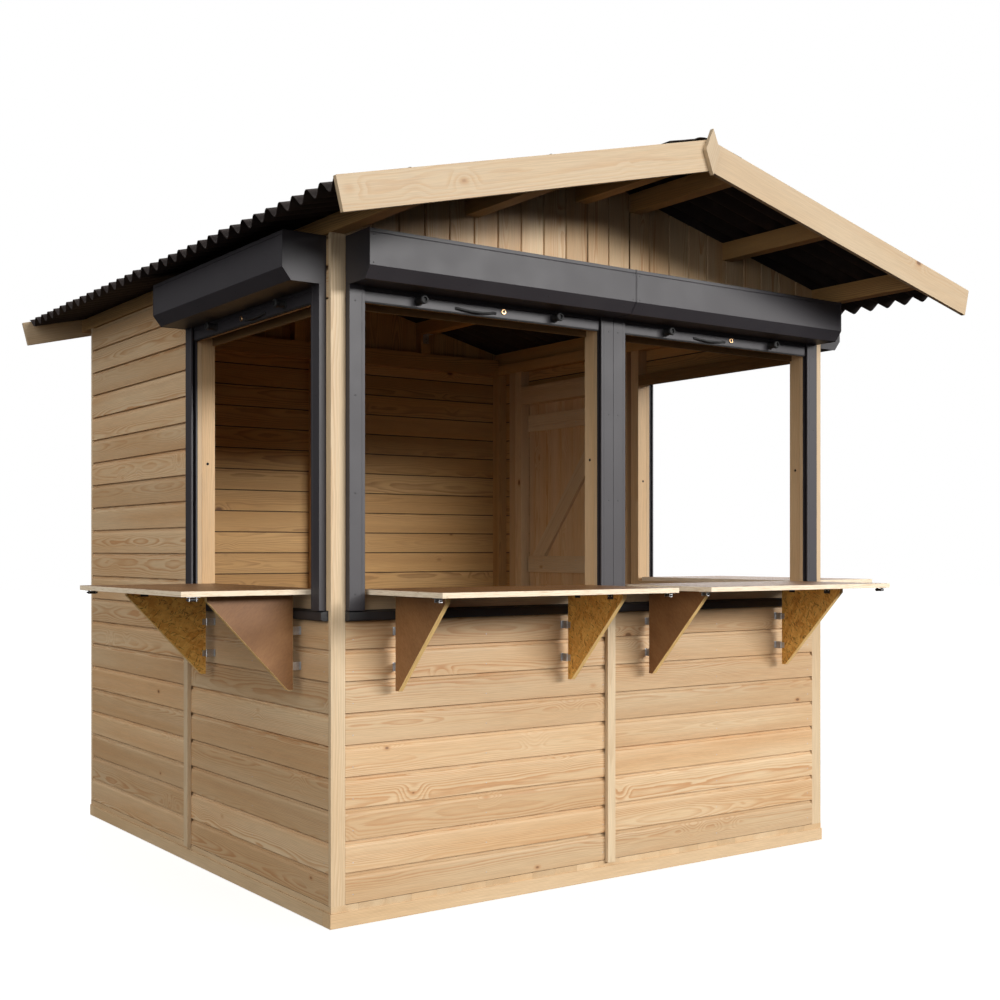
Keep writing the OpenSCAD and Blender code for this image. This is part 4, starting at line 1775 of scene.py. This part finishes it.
@dataclass
class Shutters:
    """Roller-shutter boxes, guides, bottom bars and their fittings for all windows."""

    windows: Sequence[Window]
    lip: float = 1.5 * MM
    cap: float = 3.4 * MM
    seam: float = 13 * MM
    seam_gap: float = 2.4 * MM
    rivet: float = 2.6 * MM
    rivet_shift: float = 16 * MM
    slot_depth: float = 30 * MM
    slot_lips: Point = (7 * MM, 20 * MM)
    bead: Point = (12 * MM, 13.5 * MM)
    stop_reach: float = 306 * MM
    lock_shift: float = 67 * MM
    handle_shift: float = -59 * MM
    handle_length: float = 180 * MM
    handle_level: float = 19 * MM

    def build(self) -> None:
        """Makes every shutter piece."""
        self.boxes()
        self.guides()
        self.bars()
        self.fittings()
        self.sills()

    def boxes(self) -> None:
        """Folded boxes with a chamfered underside, end caps and rivets."""
        skin = Skin()
        solids = solids_of("shutter_boxes")
        for window in self.windows:
            wall, span = window.wall, window.box
            solid = next(s for s in solids if wall.holds(s) and wall.span(s) == span)
            depth, (low, top) = span.out[1], span.up
            edges = [(Vector(p).dot(wall.outward) - wall.face, p[2]) for p in solid.points]
            bend = (max(o for o, z in edges if z < low + MM),
                    min(z for o, z in edges if o > depth - MM))
            g, seam = self.seam_gap, top - self.seam
            outline = [(0.0, low), (bend[0], low), (depth, bend[1]), (depth, seam - g),
                       (depth - g, seam - g), (depth - g, seam), (depth, seam), (depth, top),
                       (0.0, top)]
            skin.rail(wall, outline, (span.along[0] + 3 * MM, span.along[1] - 3 * MM), 1.2 * MM)
            lip = self.lip
            shell = [(0.0, low - lip), (bend[0] + lip / 2, low - lip),
                     (depth + lip, bend[1] - lip / 2), (depth + lip, top + lip), (0.0, top + lip)]
            for end, inward in ((span.along[0], 1), (span.along[1], -1)):
                pair = sorted((end, end + inward * self.cap))
                skin.prism(shell, (pair[0], pair[1]), lambda o, z, u: wall.at(u, o, z),
                           NO_GRAIN, 3 * MM, 0.8 * MM)
                for z in (bend[1] + 9 * MM, top - 22 * MM):
                    skin.screw(wall.at(end + inward * self.rivet_shift, depth, z), wall.outward,
                               self.rivet, 1)
            slant = Vector((bend[1] - low, -(depth - bend[0]))).normalized()
            normal = wall.outward * slant.x + UPRIGHT * slant.y
            for t in (0.04, 0.35, 0.65, 0.96):
                u = span.along[0] + (span.along[1] - span.along[0]) * t
                spot = wall.at(u, (depth + bend[0]) / 2, (low + bend[1]) / 2)
                skin.screw(spot, normal, self.rivet, 1)
        skin.fit("shutter_box_shells", [ANTHRACITE, DARK_COAT],
                 STALL, "shutter_paint", "shutter_boxes")

    def guides(self) -> None:
        """Channel rails with a slot for the shutter, a bead and screws on their faces."""
        skin = Skin()
        for window in self.windows:
            wall = window.wall
            for span in wall.spans("shutter_guides"):
                if not window.box.covers(span):
                    continue
                inner = 1 if span.middle < window.middle else -1
                back, edge = span.along if inner > 0 else reversed(span.along)
                face, (lip, other) = span.out[1], self.slot_lips
                deep = edge - inner * self.slot_depth
                bead = [edge - inner * shift for shift in self.bead]
                sunk = face - 0.8 * MM
                outline = [(back, 0.0), (edge, 0.0), (edge, lip), (deep, lip), (deep, other),
                           (edge, other), (edge, face), (bead[0], face), (bead[0], sunk),
                           (bead[1], sunk), (bead[1], face), (back, face)]
                rounded = soften(outline, MM)
                skin.loft([[wall.at(u, o, z) for u, o in rounded] for z in span.up])
                middle = (edge + back) / 2 - inner * 8 * MM
                height = span.up[1] - span.up[0]
                for t in (0.05, 0.36, 0.66, 0.95):
                    skin.screw(wall.at(middle, face, span.up[0] + height * t), wall.outward,
                               3.2 * MM, 1)
        skin.fit("shutter_rails", [ANTHRACITE, DARK_COAT], STALL, "shutter_paint", "shutter_guides")

    def bars(self) -> None:
        """Bottom bars: a slat with a groove, and a rubber lip underneath."""
        skin = Skin()
        for window in self.windows:
            for span in window.own("shutter_bars", 50 * MM):
                (back, face), (low, top) = span.out, span.up
                groove = low + (top - low) * 0.72
                outline = [(back, low + 5 * MM), (face, low + 5 * MM), (face, groove),
                           (face - 2 * MM, groove + MM), (face - 2 * MM, groove + 3 * MM),
                           (face, groove + 4 * MM), (face, top), (back, top)]
                skin.rail(window.wall, outline, span.along, 1.5 * MM)
                lip = [(back + 3 * MM, low), (face - 3 * MM, low), (face - 2 * MM, low + 6 * MM),
                       (back + 2 * MM, low + 6 * MM)]
                skin.rail(window.wall, lip, span.along, 2 * MM, 1)
        skin.fit("shutter_bottom_bars", [ANTHRACITE, RUBBER], STALL, "dark_metal", "shutter_bars")

    def fittings(self) -> None:
        """Rubber stops, pull handles and round locks on the bottom bars."""
        stops, handles, locks = Skin(), Skin(), Skin()
        stop_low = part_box("shutter_stops")[0]
        for window in self.windows:
            wall, span = window.wall, window.own("shutter_bars", 50 * MM)[0]
            face, centre = span.out[1], (span.up[0] + span.up[1]) / 2
            length = -stop_low.y - wall.face - face
            for shift in (-self.stop_reach, self.stop_reach):
                foot = wall.at(window.middle + shift, face, centre)
                stops.lathe(foot, wall.outward, [
                    (0, 18 * MM), (3 * MM, 18 * MM), (4 * MM, 14 * MM), (length * 0.7, 13 * MM),
                    (length * 0.74, 16 * MM), (length - 3 * MM, 16 * MM), (length, 13 * MM),
                    (length, 9 * MM), (length - 7 * MM, 8 * MM), (length - 7 * MM, MM)], 28)
            self.handle(handles, window, face, span.up[0] + self.handle_level)
            foot = wall.at(window.middle + self.lock_shift, face - MM, centre)
            locks.lathe(foot, wall.outward, [(0, 11 * MM), (3.5 * MM, 11 * MM), (5 * MM, 9.5 * MM),
                                             (5 * MM, 6.5 * MM), (3.8 * MM, 6 * MM)], 28)
            locks.lathe(foot, wall.outward, [(3 * MM, 5.6 * MM), (5.2 * MM, 5.4 * MM)], 20, 1)
        for skin, name, finishes, slot, node in (
                (stops, "rubber_stops", [RUBBER], "rubber", "shutter_stops"),
                (handles, "pull_handles", [RUBBER], "dark_metal", "shutter_handles"),
                (locks, "round_locks", [BRASS, DARK_COAT], "lock_brass", "shutter_locks")):
            skin.fit(name, finishes, STALL, slot, node)

    def handle(self, skin: Skin, window: Window, face: float, level: float) -> None:
        """Adds a shallow bow handle with two feet.

        Args:
            skin: the handles' skin.
            window: the window whose bar it is on.
            face: how far the bar's face stands out.
            level: height of the handle.
        """
        rise, sag, steps = 10 * MM, 7 * MM, 16
        start = window.middle + self.handle_shift - self.handle_length / 2
        path = []
        for k in range(steps + 1):
            bow = math.sin(math.pi * k / steps)
            path.append(window.wall.at(start + self.handle_length * k / steps,
                                       face + rise * bow ** 0.45, level - sag * bow))
        skin.tube(path, 4.5 * MM)
        for u in (start + 8 * MM, start + self.handle_length - 8 * MM):
            foot = Span((u - 9 * MM, u + 9 * MM), (face - 0.2 * MM, face + 3 * MM),
                        (level - 6 * MM, level + 5 * MM))
            skin.box(window.wall, foot, cut=2 * MM)

    def sills(self) -> None:
        """Dark flashings with a sloped top and a rolled front edge."""
        skin = Skin()
        for wall in walls_of(self.windows):
            for span in wall.spans("window_sills"):
                (back, face), (low, top) = span.out, span.up
                outline = [(back, low), (face - 6 * MM, low), (face - 6 * MM, low + 4 * MM),
                           (face, low + 4 * MM), (face, top - 6 * MM), (0.0, top - 1.5 * MM),
                           (0.0, top), (back, top)]
                skin.rail(wall, outline, span.along, 1.2 * MM)
        skin.fit("sill_flashings", [DARK_COAT], STALL, "dark_metal", "window_sills")


@dataclass
class BoltHoles:
    """Countersunk holes, one in each jamb, drawn as low domes in painted shade."""

    windows: Sequence[Window]
    height: float = 1.667
    inward: float = 44 * MM
    radius: float = 6 * MM

    def build(self) -> None:
        """Makes the painted-shade domes that stand for the holes on the jambs' faces."""
        skin = Skin()
        for window in self.windows:
            for edge, way in ((window.opening[0], 1), (window.opening[1], -1)):
                spot = window.wall.at(edge, -self.inward, self.height)
                skin.screw(spot, window.wall.run * way, self.radius)
        skin.fit("jamb_bolt_holes", [HOLE_SHADE], STALL, "dark_metal")


# ---- counters and brackets -------------------------------------------------------------------


@dataclass
class Counters:
    """Film-faced counters on their triangular folding brackets."""

    windows: Sequence[Window]
    seed: int = 31
    catch_reach: float = 0.6
    hinge_reach: float = 0.55
    sheet: float = 2.5 * MM
    knuckle: float = 4 * MM
    knuckle_parts: int = 5
    leaf: float = 1.4 * MM
    tab: float = 2 * MM

    def build(self) -> None:
        """Makes counters, catches, hinges and brackets."""
        self.tops()
        self.catches()
        self.hinges()
        for body in frame["bodies"]:
            if body.startswith("bracket_"):
                self.bracket(body)

    def tops(self) -> None:
        """Counter boards: film on both faces and pale sawn edges."""
        rng = random.Random(self.seed)
        skin = Skin()
        for solid in solids_of("counters"):
            along = axis_vector(solid.longest())
            grain = Grain.cut(rng, along, UPRIGHT.cross(along), solid.middle)
            skin.prism(solid.outline(2), (solid.low.z, solid.high.z), axis_place(2), grain,
                       3 * MM, 0.8 * MM, 1, (0, 0))
        skin.fit("counter_boards", [FILM, EDGE], STALL, "film_board", "counters")

    def catches(self) -> None:
        """Zinc catches with a dark roller under both counter ends."""
        skin = Skin()
        for window in self.windows:
            wall = window.wall
            for span in window.own("counter_latches", self.catch_reach):
                (start, end), top = span.out, span.up[1]
                skin.box(wall, Span(span.along, span.out, (top - self.sheet, top)), cut=0.8 * MM)
                for out in (start + 12 * MM, end - 12 * MM):
                    cheek = Span((span.along[0] + 2 * MM, span.along[1] - 2 * MM),
                                 (out - 1.2 * MM, out + 1.2 * MM), (top - 16 * MM, top - 2 * MM))
                    skin.box(wall, cheek, cut=0.6 * MM)
                foot = wall.at(span.middle, start + 4 * MM, top - 10 * MM)
                length = end - start - 8 * MM
                profile = [(0, 3), (0.2, 3), (0.22, 5.5), (0.78, 5.5), (0.8, 3), (1, 3)]
                skin.lathe(foot, wall.outward, [(length * t, r * MM) for t, r in profile], 16, 1)
        skin.fit("counter_catches", [ZINC, DARK_COAT], STALL, "dark_metal", "counter_latches")

    def hinges(self) -> None:
        """Fixed hinge halves: a foot on the wall, a leaf and a ringed knuckle."""
        skin = Skin()
        for window in self.windows:
            wall = window.wall
            for span in window.own("bracket_hinges", self.hinge_reach):
                (low, top), middle, r = span.up, span.middle, self.knuckle
                axis_out, height = span.out[1] - r, top - low
                skin.box(wall, Span(span.along, (0.0, 2 * MM), span.up), cut=0.8 * MM)
                skin.box(wall, Span((middle - MM, middle + MM), (0.0, axis_out), span.up),
                         cut=0.5 * MM)
                profile: list[Point] = [(0.0, 2.6 * MM), (0.8 * MM, r)]
                for part in range(1, self.knuckle_parts):
                    z = height * part / self.knuckle_parts
                    profile += [(z - 0.5 * MM, r), (z - 0.4 * MM, r - 0.5 * MM),
                                (z + 0.4 * MM, r - 0.5 * MM), (z + 0.5 * MM, r)]
                profile += [(height - 0.8 * MM, r), (height, 2.6 * MM)]
                skin.lathe(wall.at(middle, axis_out, low), UPRIGHT, profile, 20)
                for side in (-4.2 * MM, 4.2 * MM):
                    for t in (0.2, 0.8):
                        skin.screw(wall.at(middle + side, 2 * MM, low + height * t), wall.outward,
                                   1.8 * MM)
        skin.fit("bracket_wall_hinges", [ZINC], STALL, "zinc", "bracket_hinges")

    def bracket(self, node: str) -> None:
        """One triangular bracket with its hinge leaves and top plates.

        Args:
            node: name of the bracket's node and of its body.
        """
        solid = solids_of(node)[0]
        wall = next(w for w in walls_of(self.windows) if w.holds(solid))
        span = wall.span(solid)
        window = min((w for w in self.windows if w.wall is wall),
                     key=lambda w: abs(w.middle - span.middle))
        inner, way = (span.along[1], 1) if span.middle < window.middle else (span.along[0], -1)
        thin = 0 if wall.side in (Side.FRONT, Side.BACK) else 1
        slope = (wall.outward * 0.7 - UPRIGHT * 0.7).normalized()
        grain = Grain.cut(random.Random(node), slope, slope.cross(axis_vector(thin)), solid.middle)
        skin = Skin()
        skin.prism(solid.outline(thin), span.along, axis_place(thin), grain, 2.5 * MM, 0.6 * MM,
                   2, (0, 1) if way > 0 else (1, 0))
        self.leaves(skin, wall, span, inner, way)
        skin.fit(f"{node}_board", [FILM, STRANDS, STRAND_EDGE, ZINC, DARK_COAT],
                 node, "film_board", node)

    def leaves(self, skin: Skin, wall: Wall, span: Span, inner: float, way: int) -> None:
        """Adds the moving hinge leaves and the small top plates on a bracket's inner face.

        Args:
            skin: the bracket's skin.
            wall: the wall it hangs on.
            span: the bracket's box.
            inner: place of the face towards the window's middle.
            way: 1 if that face looks along the wall, -1 if back.
        """
        start, head = span.out[0], span.up[1]
        hinges = [h for h in wall.spans("bracket_hinges") if abs(h.middle - inner) < 30 * MM]
        plate = sorted((inner, inner + way * self.leaf))
        for hinge in hinges:
            low, top = hinge.up[0] + 3 * MM, hinge.up[1] - 3 * MM
            skin.box(wall, Span((plate[0], plate[1]), (start + 0.3 * MM, start + 15 * MM),
                                (low, top)), cut=0.5 * MM, slot=3)
            for t in (0.25, 0.75):
                spot = wall.at(inner + way * self.leaf, start + 9 * MM, low + (top - low) * t)
                skin.screw(spot, wall.run * way, 2.0 * MM, 3)
        plate = sorted((inner, inner + way * self.tab))
        for out in (start + 60 * MM, span.out[1] - 70 * MM):
            skin.box(wall, Span((plate[0], plate[1]), (out - 16 * MM, out + 16 * MM),
                                (head - 26 * MM, head - MM)), cut=0.8 * MM, slot=4)
            for side in (-9 * MM, 9 * MM):
                spot = wall.at(inner + way * self.tab, out + side, head - 14 * MM)
                skin.screw(spot, wall.run * way, 2.4 * MM, 3)


# ---- door ------------------------------------------------------------------------------------


@dataclass
class Door:
    """Ledged and braced door in the right wall."""

    wall: Wall
    board: float = 102 * MM
    gap: float = 0.6 * MM
    ease: float = 3 * MM
    seed: int = 41
    ledge_screws: int = 8
    ledge_height: float = 0.12
    screw_edge: float = 24 * MM
    strap_tip: float = 9 * MM
    pin: float = 5 * MM

    def build(self) -> None:
        """Makes the boards, ledges, straps and pins."""
        self.leaf()
        self.ledges()
        self.straps()
        self.pins()

    def leaf(self) -> None:
        """Upright matched boards with V joints on both faces."""
        rng = random.Random(self.seed)
        skin = Skin()
        span = self.wall.span(solids_of("door_leaf")[0])
        for left, end in shares(span.along, self.board):
            right = end - self.gap
            outline = [(left, span.out[0]), (right, span.out[0]), (right, span.out[1]),
                       (left, span.out[1])]
            grain = Grain.cut(rng, UPRIGHT, self.wall.run, self.wall.at((left + right) / 2, 0, 1))
            skin.prism(outline, span.up, self.wall.at, grain, self.ease, MM)
        skin.fit("door_boards", [CLADDING], DOOR, "cladding_pine", "door_leaf")

    def ledges(self) -> None:
        """Ledges and braces with eased edges, screwed to the boards."""
        rng = random.Random(self.seed + 1)
        skin = Skin()
        helper = Plates("door_ledge_bars", "door_ledges", TRIM_PINE, body=DOOR, thin_axis=0,
                        ease=self.ease)
        for solid in solids_of("door_ledges"):
            helper.bar(skin, solid, rng)
            span = self.wall.span(solid)
            if span.up[1] - span.up[0] >= self.ledge_height:
                continue
            for k in range(self.ledge_screws):
                t = (k + 0.5) / self.ledge_screws
                u = span.along[0] + (span.along[1] - span.along[0]) * t
                for z in (span.up[0] + self.screw_edge, span.up[1] - self.screw_edge):
                    skin.screw(self.wall.at(u, span.out[0], z), -self.wall.outward, 2.8 * MM, 1)
        skin.fit("door_ledge_bars", [TRIM_PINE, ZINC], DOOR, "frame_pine", "door_ledges")

    def straps(self) -> None:
        """Tapered hinge straps with bolts, and a bowed pull."""
        skin = Skin()
        for solid in solids_of("door_hardware"):
            span = self.wall.span(solid)
            if span.along[1] - span.along[0] > 0.1:
                self.strap(skin, span)
            else:
                self.pull(skin, span)
        skin.fit("door_straps", [DARK_COAT, ZINC], DOOR, "dark_metal", "door_hardware")

    def strap(self, skin: Skin, span: Span) -> None:
        """Adds one strap that narrows towards its tip.

        Args:
            skin: the door's hardware.
            span: the strap's box.
        """
        (start, end), (low, top) = span.along, span.up
        middle, tip = (low + top) / 2, self.strap_tip
        outline = [(start, middle - tip), (end, low), (end, top), (start, middle + tip)]
        skin.prism(outline, (0.0, span.out[1]), lambda u, z, o: self.wall.at(u, o, z), NO_GRAIN,
                   3 * MM, 0.8 * MM)
        for t in (0.12, 0.45, 0.78):
            skin.screw(self.wall.at(start + (end - start) * t, span.out[1], middle),
                       self.wall.outward, 5 * MM, 1)

    def pull(self, skin: Skin, span: Span) -> None:
        """Adds a bowed pull handle on two round feet.

        Args:
            skin: the door's hardware.
            span: the pull's box.
        """
        (low, top), middle = span.up, span.middle
        rise, edge, steps = span.out[1] - 7 * MM, 8 * MM, 14
        path = [self.wall.at(middle, rise * math.sin(math.pi * k / steps) ** 0.5,
                             low + edge + (top - low - 2 * edge) * k / steps)
                for k in range(steps + 1)]
        skin.tube(path, 6 * MM, steps)
        for z in (low + 10 * MM, top - 10 * MM):
            skin.lathe(self.wall.at(middle, 0, z), self.wall.outward,
                       [(0, 13 * MM), (3 * MM, 13 * MM), (4 * MM, 11 * MM), (4.2 * MM, 3 * MM)], 24)

    def pins(self) -> None:
        """Fixed hinge pins with their wall plates."""
        skin = Skin()
        for solid in solids_of("door_hinges"):
            span = self.wall.span(solid)
            (low, top), radius = span.up, self.pin
            pin = span.along[0] + radius
            plate = Span((pin, span.along[1]), (0.0, 3 * MM), span.up)
            skin.box(self.wall, plate, cut=0.8 * MM)
            skin.lathe(self.wall.at(pin, span.out[1] - radius, low), UPRIGHT,
                       [(0, radius * 0.8), (MM, radius), (top - low - MM, radius),
                        (top - low, radius * 0.8)], 20)
            for t in (0.25, 0.75):
                spot = self.wall.at(span.along[1] - 14 * MM, 3 * MM, low + (top - low) * t)
                skin.screw(spot, self.wall.outward, 3.5 * MM, 1)
        skin.fit("door_hinge_pins", [DARK_COAT, ZINC], STALL, "dark_metal", "door_hinges")


# ---- studio ----------------------------------------------------------------------------------


@dataclass(frozen=True)
class Lamp:
    """A broad, far lamp, its bearing taken from the front towards the right, in degrees."""

    name: str
    bearing: float
    height: float
    energy: float
    spread: float
    colour: Colour = (1.0, 0.985, 0.965)

    @property
    def stand(self) -> Vector:
        """Direction from the stall to the lamp.

        Returns:
            A vector one metre long.
        """
        bearing, height = math.radians(self.bearing), math.radians(self.height)
        return Vector((math.sin(bearing) * math.cos(height),
                       -math.cos(bearing) * math.cos(height), math.sin(height)))

    def build(self) -> bpy.types.Object:
        """Makes a lamp as far off as the sun.

        Returns:
            The lamp.
        """
        data = bpy.data.lights.new(self.name, "SUN")
        data.energy = self.energy
        data.angle = math.radians(self.spread)
        return self.hang(data)

    def hang(self, data: bpy.types.Light) -> bpy.types.Object:
        """Hangs the light and turns it to the stall.

        Args:
            data: the light.

        Returns:
            The lamp.
        """
        data.color = self.colour
        lamp = bpy.data.objects.new(self.name, data)
        lamp.rotation_euler = (-self.stand).to_track_quat("-Z", "Y").to_euler()
        bpy.context.scene.collection.objects.link(lamp)
        return lamp


@dataclass(frozen=True)
class Softbox(Lamp):
    """A wide low lamp whose two angles are as the stall sees them; energy is the light it gives."""

    tall: float = 10.0
    distance: float = 30.0

    def build(self) -> bpy.types.Object:
        """Makes the softbox, which nothing but its light shows.

        Returns:
            The lamp.
        """
        reach = 2 * self.distance
        data = bpy.data.lights.new(self.name, "AREA")
        data.shape = "RECTANGLE"
        data.size = reach * math.tan(math.radians(self.spread / 2))
        data.size_y = reach * math.tan(math.radians(self.tall / 2))
        data.energy = self.energy * math.pi * self.distance ** 2
        lamp = self.hang(data)
        lamp.location = self.stand * self.distance
        lamp.visible_camera = False
        return lamp


@dataclass
class Studio:
    """Pale floor, white surroundings, soft light and the camera."""

    camera_place: tuple[float, float, float] = (-3.4535, -5.3684, 1.3049)
    camera_turn: float = -0.6222
    lens: float = 48.456
    shift: Point = (-0.0076, 0.0509)
    sky: float = 0.5
    ground: float = 0.03
    floor_glow: float = 0.75
    floor_half: float = 40.0
    lamps: tuple[Lamp, ...] = (
        Softbox("key", bearing=21.0, height=15.6, energy=3.2, spread=42.0, tall=8.0),
        Lamp("left_fill", bearing=-64.0, height=14.0, energy=1.65, spread=70.0),
        Lamp("rear_fill", bearing=140.0, height=35.0, energy=1.3, spread=45.0),
    )

    def build(self) -> None:
        """Sets up everything that isn't part of the stall."""
        floor = self.floor()
        self.surroundings()
        unlit = bpy.data.collections.new("floor_without_lamps")
        unlit.objects.link(floor)
        unlit.collection_objects[0].light_linking.link_state = "EXCLUDE"
        for lamp in self.lamps:
            lamp.build().light_linking.receiver_collection = unlit
        self.camera()

    def floor(self) -> bpy.types.Object:
        """A wide plain floor just under the stall, which throws no light back on it.

        Returns:
            The floor.
        """
        half = self.floor_half
        skin = Skin()
        corners = [(-half, -half), (half, -half), (half, half), (-half, half)]
        skin.ring([Vector((x, y, -1 * MM)) for x, y in corners], NO_GRAIN)
        skin.faces.append((0, 1, 2, 3))
        skin.slots.append(0)
        floor = skin.build("studio_floor", [Paper("studio_paper", glow=self.floor_glow)])
        floor.visible_diffuse = False
        floor.visible_glossy = False
        return floor

    def surroundings(self) -> None:
        """A white room: bright above, dark below the horizon, plain white where it is seen."""
        world = bpy.data.worlds.new("studio")
        bpy.context.scene.world = world
        world.use_nodes = True
        tree = world.node_tree
        way = tree.nodes.new("ShaderNodeTexCoord")
        split = tree.nodes.new("ShaderNodeSeparateXYZ")
        rise = tree.nodes.new("ShaderNodeMapRange")
        rise.interpolation_type = "SMOOTHSTEP"
        for key, value in (("From Min", -0.05), ("From Max", 0.6), ("To Min", self.ground),
                           ("To Max", self.sky)):
            rise.inputs[key].default_value = value
        sky = tree.nodes["Background"]
        sky.inputs["Color"].default_value = (1.0, 1.0, 1.0, 1.0)
        seen = tree.nodes.new("ShaderNodeBackground")
        seen.inputs["Color"].default_value = (1.0, 1.0, 1.0, 1.0)
        rays = tree.nodes.new("ShaderNodeLightPath")
        choose = tree.nodes.new("ShaderNodeMixShader")
        for start, end in ((way.outputs["Generated"], split.inputs[0]),
                           (split.outputs["Z"], rise.inputs["Value"]),
                           (rise.outputs["Result"], sky.inputs["Strength"]),
                           (rays.outputs["Is Camera Ray"], choose.inputs[0]),
                           (sky.outputs[0], choose.inputs[1]), (seen.outputs[0], choose.inputs[2]),
                           (choose.outputs[0], tree.nodes["World Output"].inputs[0])):
            tree.links.new(start, end)

    def camera(self) -> None:
        """A level camera at standing height, at the front left."""
        data = bpy.data.cameras.new("camera")
        data.lens = self.lens
        data.sensor_width = 36.0
        data.shift_x, data.shift_y = self.shift
        data.clip_end = 200.0
        eye = bpy.data.objects.new("camera", data)
        eye.location = self.camera_place
        eye.rotation_euler = (math.pi / 2, 0.0, self.camera_turn)
        bpy.context.scene.collection.objects.link(eye)
        bpy.context.scene.camera = eye
        bpy.context.scene.view_settings.view_transform = "Standard"
        bpy.context.scene.view_settings.look = "None"


# Posts, top rails, gable posts and purlins take the inner pine, a painted-shade copy of the pine.
TIMBERS = (
    ("base_beams", "base_frame", FRAME_PINE), ("joists", "floor_joists", FRAME_PINE),
    ("posts", "corner_posts", SHADED_INNER_PINE), ("studs", "wall_studs", JAMB_PINE),
    ("sole_rails", "sole_plates", FRAME_PINE), ("top_rails", "top_plates", SHADED_INNER_PINE),
    ("sill_rails", "window_rails", FRAME_PINE),
    ("jambs", "jamb_boards", FRAME_PINE), ("corner_trims", "corner_boards", TRIM_PINE),
    ("joint_trims", "joint_strips", TRIM_PINE), ("gable_posts", "gable_studs", SHADED_INNER_PINE),
    ("purlin_bars", "purlins", SHADED_INNER_PINE), ("door_posts", "door_frame", FRAME_PINE),
)


def main() -> None:
    """Builds the stall and the studio."""
    logging.basicConfig(level=logging.INFO, format="%(message)s")
    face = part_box("corner_boards")[1].x
    walls = {side: Wall(side, face) for side in Side}
    Studio().build()
    for number, (name, node, finish) in enumerate(TIMBERS):
        rise = Cladding.head_gap if node == "jamb_boards" else 0.0
        Timber(name, node, finish, seed=100 + number, rise=rise).build()
    # The heads take the dark head pine, which is painted shade.
    HeadRails("head_rails", "window_headers", SHADED_HEAD_PINE, seed=99).build()
    FloorBoards().build()
    for number, side in enumerate(Side):
        Cladding(f"{side.value}_boards", f"{side.value}_cladding", walls[side],
                 seed=200 + number).build()
    for number, side in enumerate((Side.FRONT, Side.BACK)):
        GableBoards(f"{side.value}_gable_boards", f"{side.value}_gable", walls[side],
                    seed=300 + number).build()
    Roof().build()
    Plates("verge_boards", "bargeboards", VERGE_PINE, seed=401, ease=3 * MM).build()
    Plates("verge_diamonds", "finials", VERGE_PINE, seed=402, ease=3 * MM).build()
    PurlinBrackets().build([walls[Side.FRONT], walls[Side.BACK]])
    windows = Window.all([walls[Side.FRONT], walls[Side.LEFT], walls[Side.RIGHT]])
    LOG.info("windows: %d", len(windows))
    Shutters(windows).build()
    BoltHoles(windows).build()
    Counters(windows).build()
    Door(walls[Side.RIGHT]).build()


if __name__ == "__main__":
    main()
